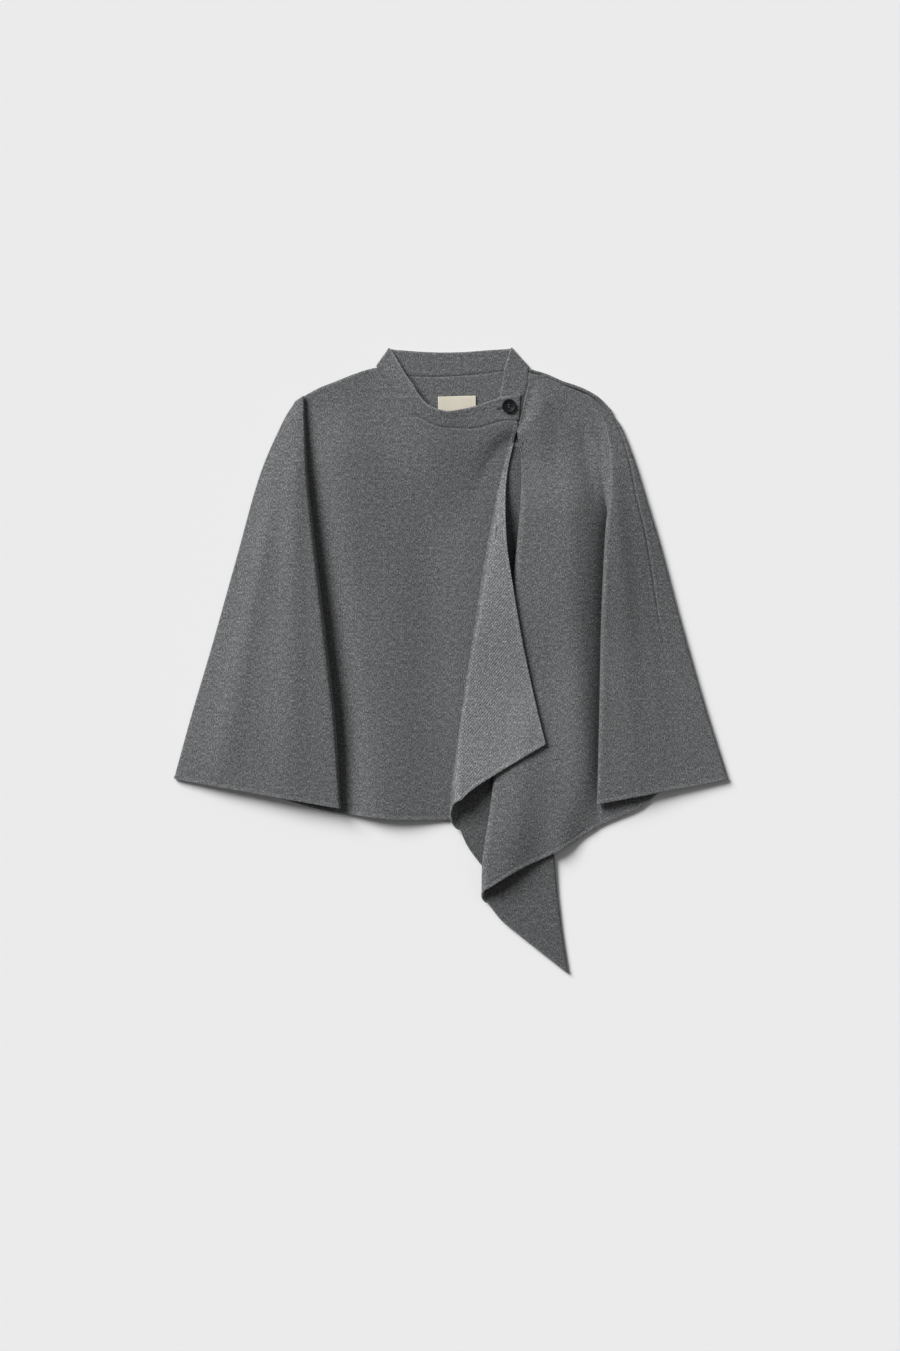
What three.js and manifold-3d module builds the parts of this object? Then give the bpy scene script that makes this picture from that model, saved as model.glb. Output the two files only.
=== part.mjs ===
// Wool cape coat with a draped front, laid flat on its back.
// Millimetres, +Z up. The garment lies on z = 0 with its front side up. +Y runs from hem to collar
// and +X towards the wearer's left. Every panel is a wall of cloth built round its middle surface.

import * as THREE from 'three';
import { mergeVertices } from 'three/addons/utils/BufferGeometryUtils.js';
import Module from 'manifold-3d';

const wasm = await Module();
wasm.setup();

// Driving dimensions
const cloth = 2.2;
const layerGap = 0.3;
const seamGap = 0.35;
const cornerGap = 1.2;
const shoulderSeamInset = 3.3;
const collarTurn = 1.8;
const buttonDiameter = 20.6;
const buttonHeight = 3;
const buttonCentre = { x: 83.8, y: 368.3 };
const labelSize = { width: 55, height: 40, thickness: 0.6 };

// Heights of the middle of each layer above the surface that the garment lies on
const backLevel = cloth / 2;
const frontLevel = backLevel + cloth + layerGap;
const drapeLevel = frontLevel + cloth + layerGap;
const underlapLevel = 7.3;
const tabLevel = 10.8;
const shoulderNeckLevel = 4.2;
const tightFold = 1.6;

// How the body stands up beside each wing before it sinks into the pleat: the height and the distance
// from the fold over which it rises. The right one fades out towards the drape.
const rightHump = { height: 13, rise: 34, fadesOut: [170, 40] };
const leftHump = { height: 17, rise: 62 };

// How much wider the rolls of the drape are than a tight fold
const roll = { body: 0.9, puff: 5, bodyAtHem: 6, flapAtHem: 8, freeEdge: 3.5 };

// How a wing sinks from its crest to its edge, as a power of the share across
const wingBelly = 2.2;

// Lines across the garment, as Y, between which a form comes in: [nothing of it, all of it]
const comesIn = {
  rightHump: [385, 295],
  leftHump: [330, 210],
  leftHumpFromHem: [-330, -230],
  overHem: [-400, -255],
  overRightFront: [-300, -230],
  bodyRoll: [250, 100],
  puff: [300, 210],
  puffFromHem: [-60, 100],
  bodyAtHem: [-120, -270],
  flapAtHem: [-90, -190],
  flapOpen: [290, 170],
  neckHold: [322, 344],
};

// Sections from the shoulder (0) down to the hem (1). The first ones are closer together.
const firstRow = 0.008;
const downs = [0, firstRow, 0.02, 0.035, 0.06, 0.1, 0.15, 0.21, 0.29, 0.37, 0.46, 0.55, 0.64, 0.73, 0.82,
  0.91, 0.96, 1];
const bendSteps = 4;
const wingSteps = 7;

// The wings. fold is the pleat's front edge and edge the outline of the wing. turn is how far the
// pleat has turned over in degrees, depth the straight part of its hidden layer, inner and outer the
// radii of its two bends, rim the radius of the outer edge, seam how far the side seam lies inside
// that edge, and slope the direction of the section outwards.
const rightWing = [
  { down: 0, foldX: -214, foldY: 383, edgeX: -223.5, edgeY: 377.5, turn: 178, depth: 1.2,
    inner: 1.6, outer: 2, rim: 3.3, seam: 4.5, slope: -0.5 },
  { down: 0.08, foldX: -212.5, foldY: 340, edgeX: -243, edgeY: 346, turn: 177, depth: 10,
    inner: 1.6, outer: 4, rim: 2.2, seam: 9, slope: 0 },
  { down: 0.2, foldX: -208.5, foldY: 270, edgeX: -275.5, edgeY: 271, turn: 176, depth: 28,
    inner: 1.6, outer: 7, rim: 1.6, seam: 15, slope: 0 },
  { down: 0.4, foldX: -196.5, foldY: 158, edgeX: -310, edgeY: 149, turn: 176, depth: 52,
    inner: 1.6, outer: 9.5, rim: 1.6, seam: 26, slope: 0 },
  { down: 0.6, foldX: -182, foldY: 36, edgeX: -345.5, edgeY: 22, turn: 176, depth: 68,
    inner: 1.6, outer: 10.5, rim: 1.6, seam: 38, slope: 0 },
  { down: 0.8, foldX: -168, foldY: -90, edgeX: -374.5, edgeY: -76, turn: 176, depth: 80,
    inner: 1.6, outer: 10.5, rim: 1.6, seam: 50, slope: 0.07 },
  { down: 1, foldX: -161, foldY: -214, edgeX: -401, edgeY: -172, turn: 176, depth: 90,
    inner: 1.6, outer: 10, rim: 1.6, seam: 62, slope: 0.17 },
];
const leftWing = [
  { down: 0, foldX: 204, foldY: 381, edgeX: 232, edgeY: 357.5, turn: 25, depth: 8,
    inner: 10, outer: 8, rim: 1.9, seam: 3.2, slope: -0.7 },
  { down: 0.1, foldX: 230, foldY: 335, edgeX: 246.5, edgeY: 337, turn: 28, depth: 14,
    inner: 15, outer: 7, rim: 1.9, seam: 3.8, slope: -0.2 },
  { down: 0.2, foldX: 234, foldY: 288, edgeX: 265.5, edgeY: 288, turn: 40, depth: 18,
    inner: 8, outer: 6, rim: 1.6, seam: 7, slope: 0 },
  { down: 0.3, foldX: 230, foldY: 240, edgeX: 281, edgeY: 238, turn: 75, depth: 14,
    inner: 5, outer: 5, rim: 1.6, seam: 13, slope: 0 },
  { down: 0.42, foldX: 223.5, foldY: 181, edgeX: 301, edgeY: 172, turn: 135, depth: 12,
    inner: 3.5, outer: 8, rim: 1.6, seam: 18, slope: 0 },
  { down: 0.6, foldX: 218, foldY: 60, edgeX: 331, edgeY: 60, turn: 168, depth: 40,
    inner: 2, outer: 10, rim: 1.6, seam: 30, slope: 0 },
  { down: 0.8, foldX: 215.5, foldY: -67, edgeX: 366, edgeY: -62, turn: 172, depth: 65,
    inner: 1.6, outer: 10, rim: 1.6, seam: 46, slope: 0.09 },
  { down: 1, foldX: 212.5, foldY: -208, edgeX: 401, edgeY: -173, turn: 175, depth: 88,
    inner: 1.6, outer: 9, rim: 1.6, seam: 75, slope: 0.18 },
];

// The drape. From the body the cloth turns under at the body fold, back at the hidden fold, up and
// over at the flap fold, and ends in the free edge.
const drape = [
  { down: 0, freeX: 91.5, freeY: 317, flapX: 86.5, flapY: 311, hiddenX: 110.2, hiddenY: 306,
    bodyX: 102.5, bodyY: 318 },
  { down: 0.1, freeX: 83, freeY: 279.5, flapX: 72.8, flapY: 265, hiddenX: 114.2, hiddenY: 243,
    bodyX: 102.6, bodyY: 255 },
  { down: 0.2, freeX: 78.8, freeY: 235, flapX: 61.5, flapY: 210, hiddenX: 118, hiddenY: 165,
    bodyX: 98.5, bodyY: 194 },
  { down: 0.35, freeX: 80.8, freeY: 168, flapX: 46.8, flapY: 127.5, hiddenX: 125, hiddenY: 49.5,
    bodyX: 88.7, bodyY: 94 },
  { down: 0.5, freeX: 90.3, freeY: 101.5, flapX: 34.2, flapY: 45, hiddenX: 133.2, hiddenY: -66.5,
    bodyX: 78.6, bodyY: -6.5 },
  { down: 0.65, freeX: 101.6, freeY: 35, flapX: 21.8, flapY: -37.5, hiddenX: 142.8, hiddenY: -182.5,
    bodyX: 68.5, bodyY: -107 },
  { down: 0.8, freeX: 115.6, freeY: -32, flapX: 10.2, flapY: -120, hiddenX: 150, hiddenY: -298,
    bodyX: 58.5, bodyY: -207 },
  { down: 0.92, freeX: 128, freeY: -85.5, flapX: 1.6, flapY: -185, hiddenX: 159.8, hiddenY: -391,
    bodyX: 46.5, bodyY: -287 },
  { down: 1, freeX: 137, freeY: -121, flapX: -0.5, flapY: -224, hiddenX: 169.5, hiddenY: -453,
    bodyX: 45, bodyY: -341 },
];

const at = (x, y, z = 0) => new THREE.Vector3(x, y, z);
const mix = (a, b, share) => a + (b - a) * share;
const radians = THREE.MathUtils.degToRad;

function ease(share) {
  const s = THREE.MathUtils.clamp(share, 0, 1);
  return s * s * (3 - 2 * s);
}

// 0 before the first value, 1 past the second one, and smooth between them
const between = (value, [nothing, all]) => ease((value - nothing) / (all - nothing));

// Shares from 0 to 1 in even steps
const evenly = (steps) => Array.from({ length: steps + 1 }, (_, k) => k / steps);

// A value of a table at a place down the panel, on a smooth line through the rows
function fromTable(rows, column, down) {
  let i = 0;
  while (i < rows.length - 2 && down > rows[i + 1].down) i += 1;
  const slopeAt = (k) => {
    const before = rows[Math.max(k - 1, 0)];
    const after = rows[Math.min(k + 1, rows.length - 1)];
    return (after[column] - before[column]) / (after.down - before.down);
  };
  const width = rows[i + 1].down - rows[i].down;
  const s = (down - rows[i].down) / width;
  const start = rows[i][column] * (1 + 2 * s) * (1 - s) ** 2 + slopeAt(i) * width * s * (1 - s) ** 2;
  const end = rows[i + 1][column] * s * s * (3 - 2 * s) + slopeAt(i + 1) * width * s * s * (s - 1);
  return start + end;
}

// Points spaced evenly along a smooth line through the given ones
function through(points, count) {
  return new THREE.CatmullRomCurve3(points, false, 'centripetal').getSpacedPoints(count - 1);
}

// The point part of the way along a line of evenly spaced points
function pointAlong(line, share) {
  const place = share * (line.length - 1);
  const k = Math.min(Math.floor(place), line.length - 2);
  return line[k].clone().lerp(line[k + 1], place - k);
}

// Lines that share their end points, joined into one
function joined(...lines) {
  return lines.flatMap((line, i) => (i === 0 ? line : line.slice(1)));
}

// A net of points between four edges. shares says how far down each row lies, and fade how soon the
// rows lose the shape of the top edge.
function patch(top, bottom, left, right, shares, fade = 1) {
  const last = top.length - 1;
  return left.map((leftPoint, i) => top.map((topPoint, j) => {
    const u = j / last;
    const v = shares[i];
    const bow = (edge, j2) => edge[j2].clone().sub(edge[0].clone().lerp(edge[last], u));
    return leftPoint.clone().lerp(right[i], u)
      .addScaledVector(bow(top, j), (1 - v) ** fade)
      .addScaledVector(bow(bottom, j), v);
  }));
}

// The X of a wing's front fold at a place up the garment
function foldXAt(wing, y) {
  let i = 0;
  while (i < wing.length - 2 && y < wing[i + 1].foldY) i += 1;
  const share = (y - wing[i].foldY) / (wing[i + 1].foldY - wing[i].foldY);
  return mix(wing[i].foldX, wing[i + 1].foldX, THREE.MathUtils.clamp(share, 0, 1));
}

// The right hump, which keeps clear of a circle round the neck
function rightLift(p) {
  const beside = p.x - foldXAt(rightWing, p.y);
  const fromNeck = between(Math.hypot(p.x, p.y - 400), [105, 165]);
  return rightHump.height * ease(beside / rightHump.rise) * between(beside, rightHump.fadesOut)
    * between(p.y, comesIn.rightHump) * fromNeck;
}

// How far a place on the body is past the hidden fold of the drape: 0 over the drape, 1 beside it
const hiddenFoldX = (y) => mix(111, 135, (306 - y) / 320);
const pastDrape = (p) => between(p.x - hiddenFoldX(p.y), [8, 68]);

function leftLift(p) {
  const beside = THREE.MathUtils.clamp((foldXAt(leftWing, p.y) - p.x) / leftHump.rise, 0, 1);
  return leftHump.height * (1 - (1 - beside) ** 3) * pastDrape(p)
    * between(p.y, comesIn.leftHump) * between(p.y, comesIn.leftHumpFromHem);
}

function lifted(rows, lift) {
  return rows.map((row) => row.map((p) => at(p.x, p.y, p.z + lift(p))));
}

function withHeight(rows, height) {
  return rows.map((row, i) => row.map((p, j) => at(p.x, p.y, height(p, i, j))));
}

// A bend of cloth from one layer to the one above or below, bulging out along a direction
function bend(from, to, outwards, bulge, steps) {
  const middle = from.clone().add(to).multiplyScalar(0.5);
  const half = from.clone().sub(to).multiplyScalar(0.5);
  return Array.from({ length: steps + 1 }, (_, k) => {
    const angle = (Math.PI * k) / steps;
    return middle.clone().addScaledVector(half, Math.cos(angle))
      .addScaledVector(outwards, bulge * Math.sin(angle));
  });
}

// A closed wall of even thickness round a net of points
function wall(rows, thickness) {
  const height = rows.length;
  const width = rows[0].length;
  const position = [];
  for (const side of [0.5, -0.5]) {
    rows.forEach((row, i) => row.forEach((p, j) => {
      const across = row[Math.min(j + 1, width - 1)].clone().sub(row[Math.max(j - 1, 0)]);
      const down = rows[Math.min(i + 1, height - 1)][j].clone().sub(rows[Math.max(i - 1, 0)][j]);
      const normal = down.cross(across).normalize();
      position.push(...p.clone().addScaledVector(normal, side * thickness).toArray());
    }));
  }
  const index = [];
  const behind = width * height;
  for (let i = 0; i < height - 1; i += 1) {
    for (let j = 0; j < width - 1; j += 1) {
      const a = i * width + j;
      const [b, c, d] = [a + 1, a + width, a + width + 1];
      index.push(a, c, b, b, c, d);
      index.push(behind + a, behind + b, behind + c, behind + b, behind + d, behind + c);
    }
  }
  const rim = [];
  for (let j = width - 1; j > 0; j -= 1) rim.push(j);
  for (let i = 0; i < height - 1; i += 1) rim.push(i * width);
  for (let j = 0; j < width - 1; j += 1) rim.push((height - 1) * width + j);
  for (let i = height - 1; i > 0; i -= 1) rim.push(i * width + width - 1);
  rim.forEach((p, k) => {
    const q = rim[(k + 1) % rim.length];
    index.push(q, p, behind + p, q, behind + p, behind + q);
  });
  const geometry = new THREE.BufferGeometry();
  geometry.setAttribute('position', new THREE.Float32BufferAttribute(position, 3));
  geometry.setIndex(index);
  geometry.computeVertexNormals();
  return geometry;
}

// The pleat of a wing at one section: its crest, its valley and the bends between them, from the
// crest inwards to the body of the panel
function pleatAt(table, down, side) {
  const value = (column) => fromTable(table, column, down);
  const outwards = at(side, value('slope')).normalize();
  const turn = radians(value('turn'));
  const [inner, outer, depth] = [value('inner'), value('outer'), value('depth')];
  const crestIn = outer * Math.sin(Math.min(turn, Math.PI / 2));
  const crest = at(value('foldX'), value('foldY')).addScaledVector(outwards, crestIn);
  const spread = (inner + outer) * Math.sin(turn) + depth * Math.cos(turn);
  const valley = crest.clone().addScaledVector(outwards, -spread).setZ(frontLevel);
  const profile = [];
  for (let k = 0; k <= bendSteps; k += 1) {
    const angle = (turn * k) / bendSteps;
    profile.push([inner * Math.sin(angle), inner * (1 - Math.cos(angle))]);
  }
  const [startX, startZ] = profile[bendSteps];
  for (const share of [1 / 3, 2 / 3]) {
    profile.push([startX + depth * share * Math.cos(turn), startZ + depth * share * Math.sin(turn)]);
  }
  const [endX, endZ] = [startX + depth * Math.cos(turn), startZ + depth * Math.sin(turn)];
  for (let k = 0; k <= bendSteps; k += 1) {
    const angle = turn * (1 - k / bendSteps);
    profile.push([endX + outer * (Math.sin(turn) - Math.sin(angle)),
      endZ + outer * (Math.cos(angle) - Math.cos(turn))]);
  }
  const points = profile.map(([x, z]) => valley.clone().addScaledVector(outwards, x).setZ(frontLevel + z));
  const edge = at(value('edgeX'), value('edgeY'));
  return {
    outwards, edge, valley, points, rim: value('rim'), seam: value('seam'), crest: points[points.length - 1],
  };
}

// A point on the top of a wing: share 0 is the crest of the pleat and 1 the turn of the outer edge
function wingTop(section, share) {
  const end = section.edge.clone().addScaledVector(section.outwards, -section.rim);
  const point = section.crest.clone().lerp(end, share);
  return point.setZ(mix(section.crest.z, backLevel + 2 * section.rim, share ** wingBelly));
}

// How far across the top of the left wing the side seam lies
function seamShare(section, extra) {
  const end = section.edge.clone().addScaledVector(section.outwards, -section.rim);
  const width = Math.hypot(end.x - section.crest.x, end.y - section.crest.y);
  return 1 - (section.seam - section.rim + extra) / width;
}

const rightSections = downs.map((down) => pleatAt(rightWing, down, -1));
const leftSections = downs.map((down) => pleatAt(leftWing, down, 1));

// Neck seam, from the left of the picture to the right: back, right front, left front
const neckCornerRight = at(-107, 425);
const neckCornerLeft = at(112.5, 423);
const neckShoulderLeft = at(112.6, 418.2);
const neckEndRight = at(94.5, 347);
const neckEndLeft = at(102.3, 345.5);
const backNeck = through([neckCornerRight, at(-85, 416), at(-58, 412.5), at(-9, 412), at(50, 416.5),
  at(78, 420), neckCornerLeft], 13);
const rightNeck = through([neckCornerRight, at(-100, 415), at(-84, 393.5), at(-70, 374), at(-46, 352),
  at(-19, 339), at(6, 336.5), at(32, 336), at(50, 340), at(78, 347.5), neckEndRight], 13);
const leftNeck = through([neckEndLeft, at(102.5, 354), at(103.3, 364), at(105.5, 377), at(109.5, 392),
  at(112, 405), neckShoulderLeft], 8);

// The outline of the left shoulder, moved inwards
const leftShoulder = new THREE.CatmullRomCurve3([neckCornerLeft, at(119, 421), at(140, 414), at(160, 405),
  at(185, 396.5), at(203, 388), at(216, 379), at(232, 362)], false, 'centripetal');
function onShoulder(share, inset) {
  const tangent = leftShoulder.getTangentAt(share);
  return leftShoulder.getPointAt(share).add(at(tangent.y, -tangent.x).multiplyScalar(inset));
}

// The right front's neck rises from the shoulder over the label to the tab. neckHold says how far
// down each panel the height of its neck is kept.
const rightNeckHeights = [
  { down: 0, z: shoulderNeckLevel }, { down: 0.2, z: 8 }, { down: 0.5, z: 14 }, { down: 0.72, z: 11.4 },
  { down: 0.85, z: tabLevel }, { down: 1, z: tabLevel },
];
const neckHold = { shoulder: 0.16, tab: 0.028, leftFront: 0.027, leftShoulder: 0.045 };
const rightNeckZ = (share) => fromTable(rightNeckHeights, 'z', share);
const leftNeckZ = (share) => mix(underlapLevel, backLevel + 2 * collarTurn, share);

function rightFront() {
  const last = rightSections.length - 1;
  const left = rightSections.map((section) => section.valley);
  const frontEdge = through([neckEndRight, at(93, 335), at(92, 200), at(84, -40), at(78, -229)], 40);
  const rightEdge = downs.map((down) => pointAlong(frontEdge, down));
  const shoulder = through([left[0], at(-190, 396), at(-168, 404.5), at(-146, 413.5), at(-121, 422),
    neckCornerRight], 6);
  const top = joined(shoulder, rightNeck);
  const bottom = through([left[last], at(-203, -213), at(-165, -221), at(-132, -225), at(-74, -231),
    at(0, -231), rightEdge[last]], top.length);
  const neckStart = shoulder.length - 1;
  const body = withHeight(patch(top, bottom, left, rightEdge, downs), (p, i, j) => {
    const share = (j - neckStart) / (rightNeck.length - 1);
    const neckZ = share > 0 ? rightNeckZ(share) : mix(frontLevel, shoulderNeckLevel, j / neckStart);
    const heldDown = mix(neckHold.shoulder, neckHold.tab, ease(share));
    return mix(neckZ, frontLevel, ease((downs[i] - firstRow) / heldDown));
  });
  const rows = rightSections.map((section, i) => {
    const rimPoint = section.edge.clone().addScaledVector(section.outwards, -section.rim);
    const under = rimPoint.clone().setZ(backLevel);
    const seam = under.clone().addScaledVector(section.outwards, section.rim - section.seam);
    const bottomStrip = [seam, seam.clone().lerp(under, 0.5), under];
    const turn = bend(under, wingTop(section, 1), section.outwards, section.rim, bendSteps);
    const topStrip = evenly(wingSteps).map((share) => wingTop(section, 1 - share));
    return joined(bottomStrip, turn, topStrip, [...section.points].reverse(), body[i]);
  });
  return lifted(rows, rightLift);
}

// Heights of the drape over the layers below it
const lowestDrape = (y) => mix(backLevel, drapeLevel, between(y, comesIn.overHem));
const puffed = (y) => roll.puff * between(y, comesIn.puff) * between(y, comesIn.puffFromHem);
const bodyRoll = (y) => tightFold + roll.body * between(y, comesIn.bodyRoll)
  + roll.bodyAtHem * between(y, comesIn.bodyAtHem) + puffed(y);
const bodyOverDrape = (y) => lowestDrape(y) + 2 * tightFold + 2 * bodyRoll(y);
const bodyBeside = (y) => mix(backLevel, frontLevel, between(y, comesIn.overRightFront));

function bodyHeight(p) {
  return mix(bodyOverDrape(p.y), bodyBeside(p.y), pastDrape(p));
}

function flapHeight(p, across) {
  const close = lowestDrape(p.y) + 2 * tightFold;
  const atHem = roll.flapAtHem * between(p.y, comesIn.flapAtHem) * (1 - across) ** 2;
  const over = bodyOverDrape(p.y) + cloth + layerGap + roll.freeEdge * across + atHem;
  return mix(close, over, between(p.y, comesIn.flapOpen));
}

function leftFront() {
  const last = downs.length - 1;
  const fold = (name) => downs.map((down) => at(fromTable(drape, `${name}X`, down),
    fromTable(drape, `${name}Y`, down)));
  const [free, flap, hidden, bodyFold] = ['free', 'flap', 'hidden', 'body'].map(fold);
  const hemSlant = 22;
  const slant = (down) => hemSlant * down ** 3;
  const flapUpper = flap.map((p, i) => {
    const radius = (flapHeight(p, 0) - lowestDrape(p.y)) / 2;
    return at(p.x + radius, p.y + slant(downs[i]));
  });
  const flapLower = flap.map((p, i) => at(flapUpper[i].x, p.y - slant(downs[i])));
  const bodyUpper = bodyFold.map((p, i) => at(p.x + bodyRoll(p.y), p.y + slant(downs[i]) / 2));
  const bodyLower = bodyFold.map((p, i) => at(bodyUpper[i].x, p.y - slant(downs[i]) / 2));
  const hiddenIn = hidden.map((p) => at(p.x - tightFold, p.y));
  const rowOf = (a, b, count) => through([a, b], count);

  const flapTop = rowOf(flapUpper[0], free[0], 6);
  const flapHem = through([flapUpper[last], at(30, -187), at(67, -163), free[last]], 6);
  const flapNet = withHeight(patch(flapTop, flapHem, flapUpper, free, downs),
    (p, i, j) => flapHeight(p, j / (flapTop.length - 1)));

  const lowTop = rowOf(flapLower[0], hiddenIn[0], 7);
  const lowHem = through([flapLower[last], at(23, -268), at(44, -297), hiddenIn[last]], 7);
  const lowNet = withHeight(patch(lowTop, lowHem, flapLower, hiddenIn, downs), (p) => lowestDrape(p.y));

  const underTop = rowOf(bodyLower[0], hiddenIn[0], 6);
  const underHem = through([bodyLower[last], at(71, -375), at(100, -399.5), at(129, -422.5),
    hiddenIn[last]], 6);
  const underNet = withHeight(patch(underTop, underHem, bodyLower, hiddenIn, downs),
    (p) => lowestDrape(p.y) + 2 * tightFold);

  const valleys = leftSections.map((section) => section.valley);
  const gather = through([bodyUpper[0], neckEndLeft], 3);
  const inset = shoulderSeamInset + seamGap;
  const shoulder = through([neckShoulderLeft, onShoulder(0.2, inset), onShoulder(0.4, inset), valleys[0]], 6);
  const bodyTop = joined(gather, leftNeck, shoulder);
  const bodyHem = through([bodyUpper[last], at(100, -302), at(158, -275), at(216, -240),
    at(275.5, -212.5), valleys[last]], bodyTop.length);
  const neckFirst = gather.length - 1;
  const neckLast = neckFirst + leftNeck.length - 1;
  const bodyNet = withHeight(patch(bodyTop, bodyHem, bodyUpper, valleys, downs, 8), (p, i, j) => {
    const share = THREE.MathUtils.clamp((j - neckFirst) / (neckLast - neckFirst), 0, 1);
    const neckZ = j > neckLast
      ? mix(leftNeckZ(1), frontLevel, (j - neckLast) / (bodyTop.length - 1 - neckLast))
      : leftNeckZ(share);
    const heldDown = mix(neckHold.leftFront, neckHold.leftShoulder, ease(share));
    const held = 1 - ease((downs[i] - firstRow) / heldDown);
    return mix(bodyHeight(p), neckZ, held * between(p.y, comesIn.neckHold));
  });

  const inwards = at(-1, 0);
  const rows = leftSections.map((section, i) => {
    const flapBend = bend(flapNet[i][0], lowNet[i][0], inwards, flapUpper[i].x - flap[i].x, bendSteps + 2);
    const hiddenBend = bend(lowNet[i].at(-1), underNet[i].at(-1), at(1, 0), tightFold, bendSteps);
    const bodyBend = bend(underNet[i][0], bodyNet[i][0], inwards, bodyUpper[i].x - bodyFold[i].x, bendSteps);
    const seam = seamShare(section, i < 3 ? cornerGap : seamGap);
    const wing = evenly(wingSteps).map((share) => wingTop(section, share * seam));
    return joined([...flapNet[i]].reverse(), flapBend, lowNet[i], hiddenBend, [...underNet[i]].reverse(),
      bodyBend, bodyNet[i], section.points, wing);
  });
  return lifted(rows, leftLift);
}

function backPanel() {
  const shoulderRows = 9;
  const turnRows = 4;
  const rightSide = rightSections.map((section) => section.edge.clone()
    .addScaledVector(section.outwards, -section.seam - seamGap));
  const left = joined(through([neckCornerRight, at(-121, 422), at(-146, 413.5), at(-168, 404.5),
    at(-190, 396), rightSide[0]], shoulderRows), rightSide);
  const sectionOf = (i) => leftSections[Math.max(i - shoulderRows + 1, 0)];
  const right = left.map((_, i) => (i < shoulderRows
    ? onShoulder(i / (shoulderRows - 1), sectionOf(i).rim)
    : sectionOf(i).edge.clone().addScaledVector(sectionOf(i).outwards, -sectionOf(i).rim)));
  const neck = [...backNeck.slice(0, -1), at(113.4, 421.3)];
  right[0] = neck[neck.length - 1];
  const lengths = left.map((p, i) => (i === 0 ? 0 : p.distanceTo(left[i - 1])));
  const total = lengths.reduce((sum, length) => sum + length, 0);
  let run = 0;
  const shares = lengths.map((length) => {
    run += length / total;
    return run;
  });
  const bottom = through([left[left.length - 1], at(-220, -204), at(-74, -221), at(0, -223),
    at(110, -219), at(216, -203), at(300, -190), right[right.length - 1]], backNeck.length);
  const main = withHeight(patch(neck, bottom, left, right, shares), () => backLevel);
  return main.map((row, i) => {
    const section = sectionOf(i);
    const inShoulder = i < shoulderRows;
    const tangent = leftShoulder.getTangentAt(Math.min(i / (shoulderRows - 1), 1));
    const shoulderOut = i === 0 ? at(0.95, 0.3) : at(-tangent.y, tangent.x);
    const turned = ease((i + 1 - shoulderRows) / turnRows);
    const outwards = shoulderOut.clone().lerp(section.outwards, turned).normalize();
    const inwards = i === 0 ? at(0.1, -1) : shoulderOut.clone().negate();
    const low = row[row.length - 1];
    const high = low.clone().setZ(backLevel + 2 * section.rim);
    const turn = bend(low, high, outwards, section.rim, bendSteps);
    const seam = seamShare(section, 0);
    const ontoWing = inShoulder ? 0 : mix(0.7, 1, turned);
    const top = evenly(3).map((share) => high.clone()
      .addScaledVector(inwards, share * (shoulderSeamInset - section.rim))
      .lerp(wingTop(section, mix(1, seam, share)), ontoWing));
    return joined(row, turn, top);
  });
}

// The stand collar: sections from the end of the tab, down the right front's neck, round the back
// and along the left front's neck to the end of the underlap
function collarSections() {
  const bandTop = through([at(-88, 452), at(-82.5, 443.5), at(-74.5, 429.5), at(-65.5, 414), at(-55, 399),
    at(-47, 385.5), at(-34, 370.5), at(-19.5, 364), at(-5, 361), at(16, 364), at(35.5, 368.5),
    at(55, 375.5), at(72.5, 381), at(93.5, 385)], rightNeck.length);
  const backTop = through([at(-88, 452), at(-74, 450.5), at(-30, 447.5), at(13, 447.5), at(56, 450.5),
    at(86, 452.5)], backNeck.length);
  const underNeck = [...leftNeck, neckCornerLeft];
  const underTop = through([at(67, 366), at(71.5, 388), at(74.5, 404), at(77.5, 424), at(82.5, 441),
    at(86, 452.5)], underNeck.length);
  const bandTopHeights = [
    { down: 0, z: 4.7 }, { down: 0.25, z: 15 }, { down: 0.5, z: 17 }, { down: 0.72, z: 12 },
    { down: 0.85, z: tabLevel }, { down: 1, z: tabLevel },
  ];
  const section = (neck, top, neckZ, topZ, gap = seamGap) => {
    const start = neck.clone().setZ(neckZ);
    const end = top.clone().setZ(topZ);
    start.addScaledVector(end.clone().sub(start).normalize(), gap);
    return evenly(3).map((share) => end.clone().lerp(start, share));
  };
  const front = rightNeck.map((neck, j) => {
    const share = j / (rightNeck.length - 1);
    return section(neck, bandTop[j], rightNeckZ(share), fromTable(bandTopHeights, 'z', share));
  });
  const back = backNeck.map((neck, j) => section(neck, backTop[j], backLevel, backLevel));
  const under = underNeck.map((neck, j) => {
    const share = Math.min(j / (leftNeck.length - 1), 1);
    const z = leftNeckZ(share);
    return section(neck, underTop[j], z, z, mix(3 * seamGap, seamGap, share));
  });
  const corner = (from, to, outwards) => {
    const bends = from.map((p, k) => bend(p, to[k], outwards, collarTurn, bendSteps + 1));
    return bends[0].map((_, step) => bends.map((line) => line[step]));
  };
  const tabEnd = section(at(99.3, 347.6), at(98.6, 385.5), tabLevel, tabLevel);
  return joined([tabEnd, ...[...front].reverse()],
    corner(front[0], back[0], at(-0.8, 0.6)), back,
    corner(back.at(-1), under.at(-1), at(0.8, 0.6)), [...under].reverse());
}

// Joins and cuts
function solidOf(geometry) {
  const bare = geometry.clone();
  bare.deleteAttribute('normal');
  bare.deleteAttribute('uv');
  const merged = mergeVertices(bare);
  const indices = merged.index ?? merged.toNonIndexed().index;
  return new wasm.Manifold(new wasm.Mesh({
    numProp: 3,
    vertProperties: new Float32Array(merged.attributes.position.array),
    triVerts: new Uint32Array(indices.array),
  }));
}

function geometryOf(solid) {
  const mesh = solid.getMesh();
  const geometry = new THREE.BufferGeometry();
  geometry.setAttribute('position', new THREE.BufferAttribute(mesh.vertProperties, 3));
  geometry.setIndex(new THREE.BufferAttribute(mesh.triVerts, 1));
  geometry.computeVertexNormals();
  return geometry;
}

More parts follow.
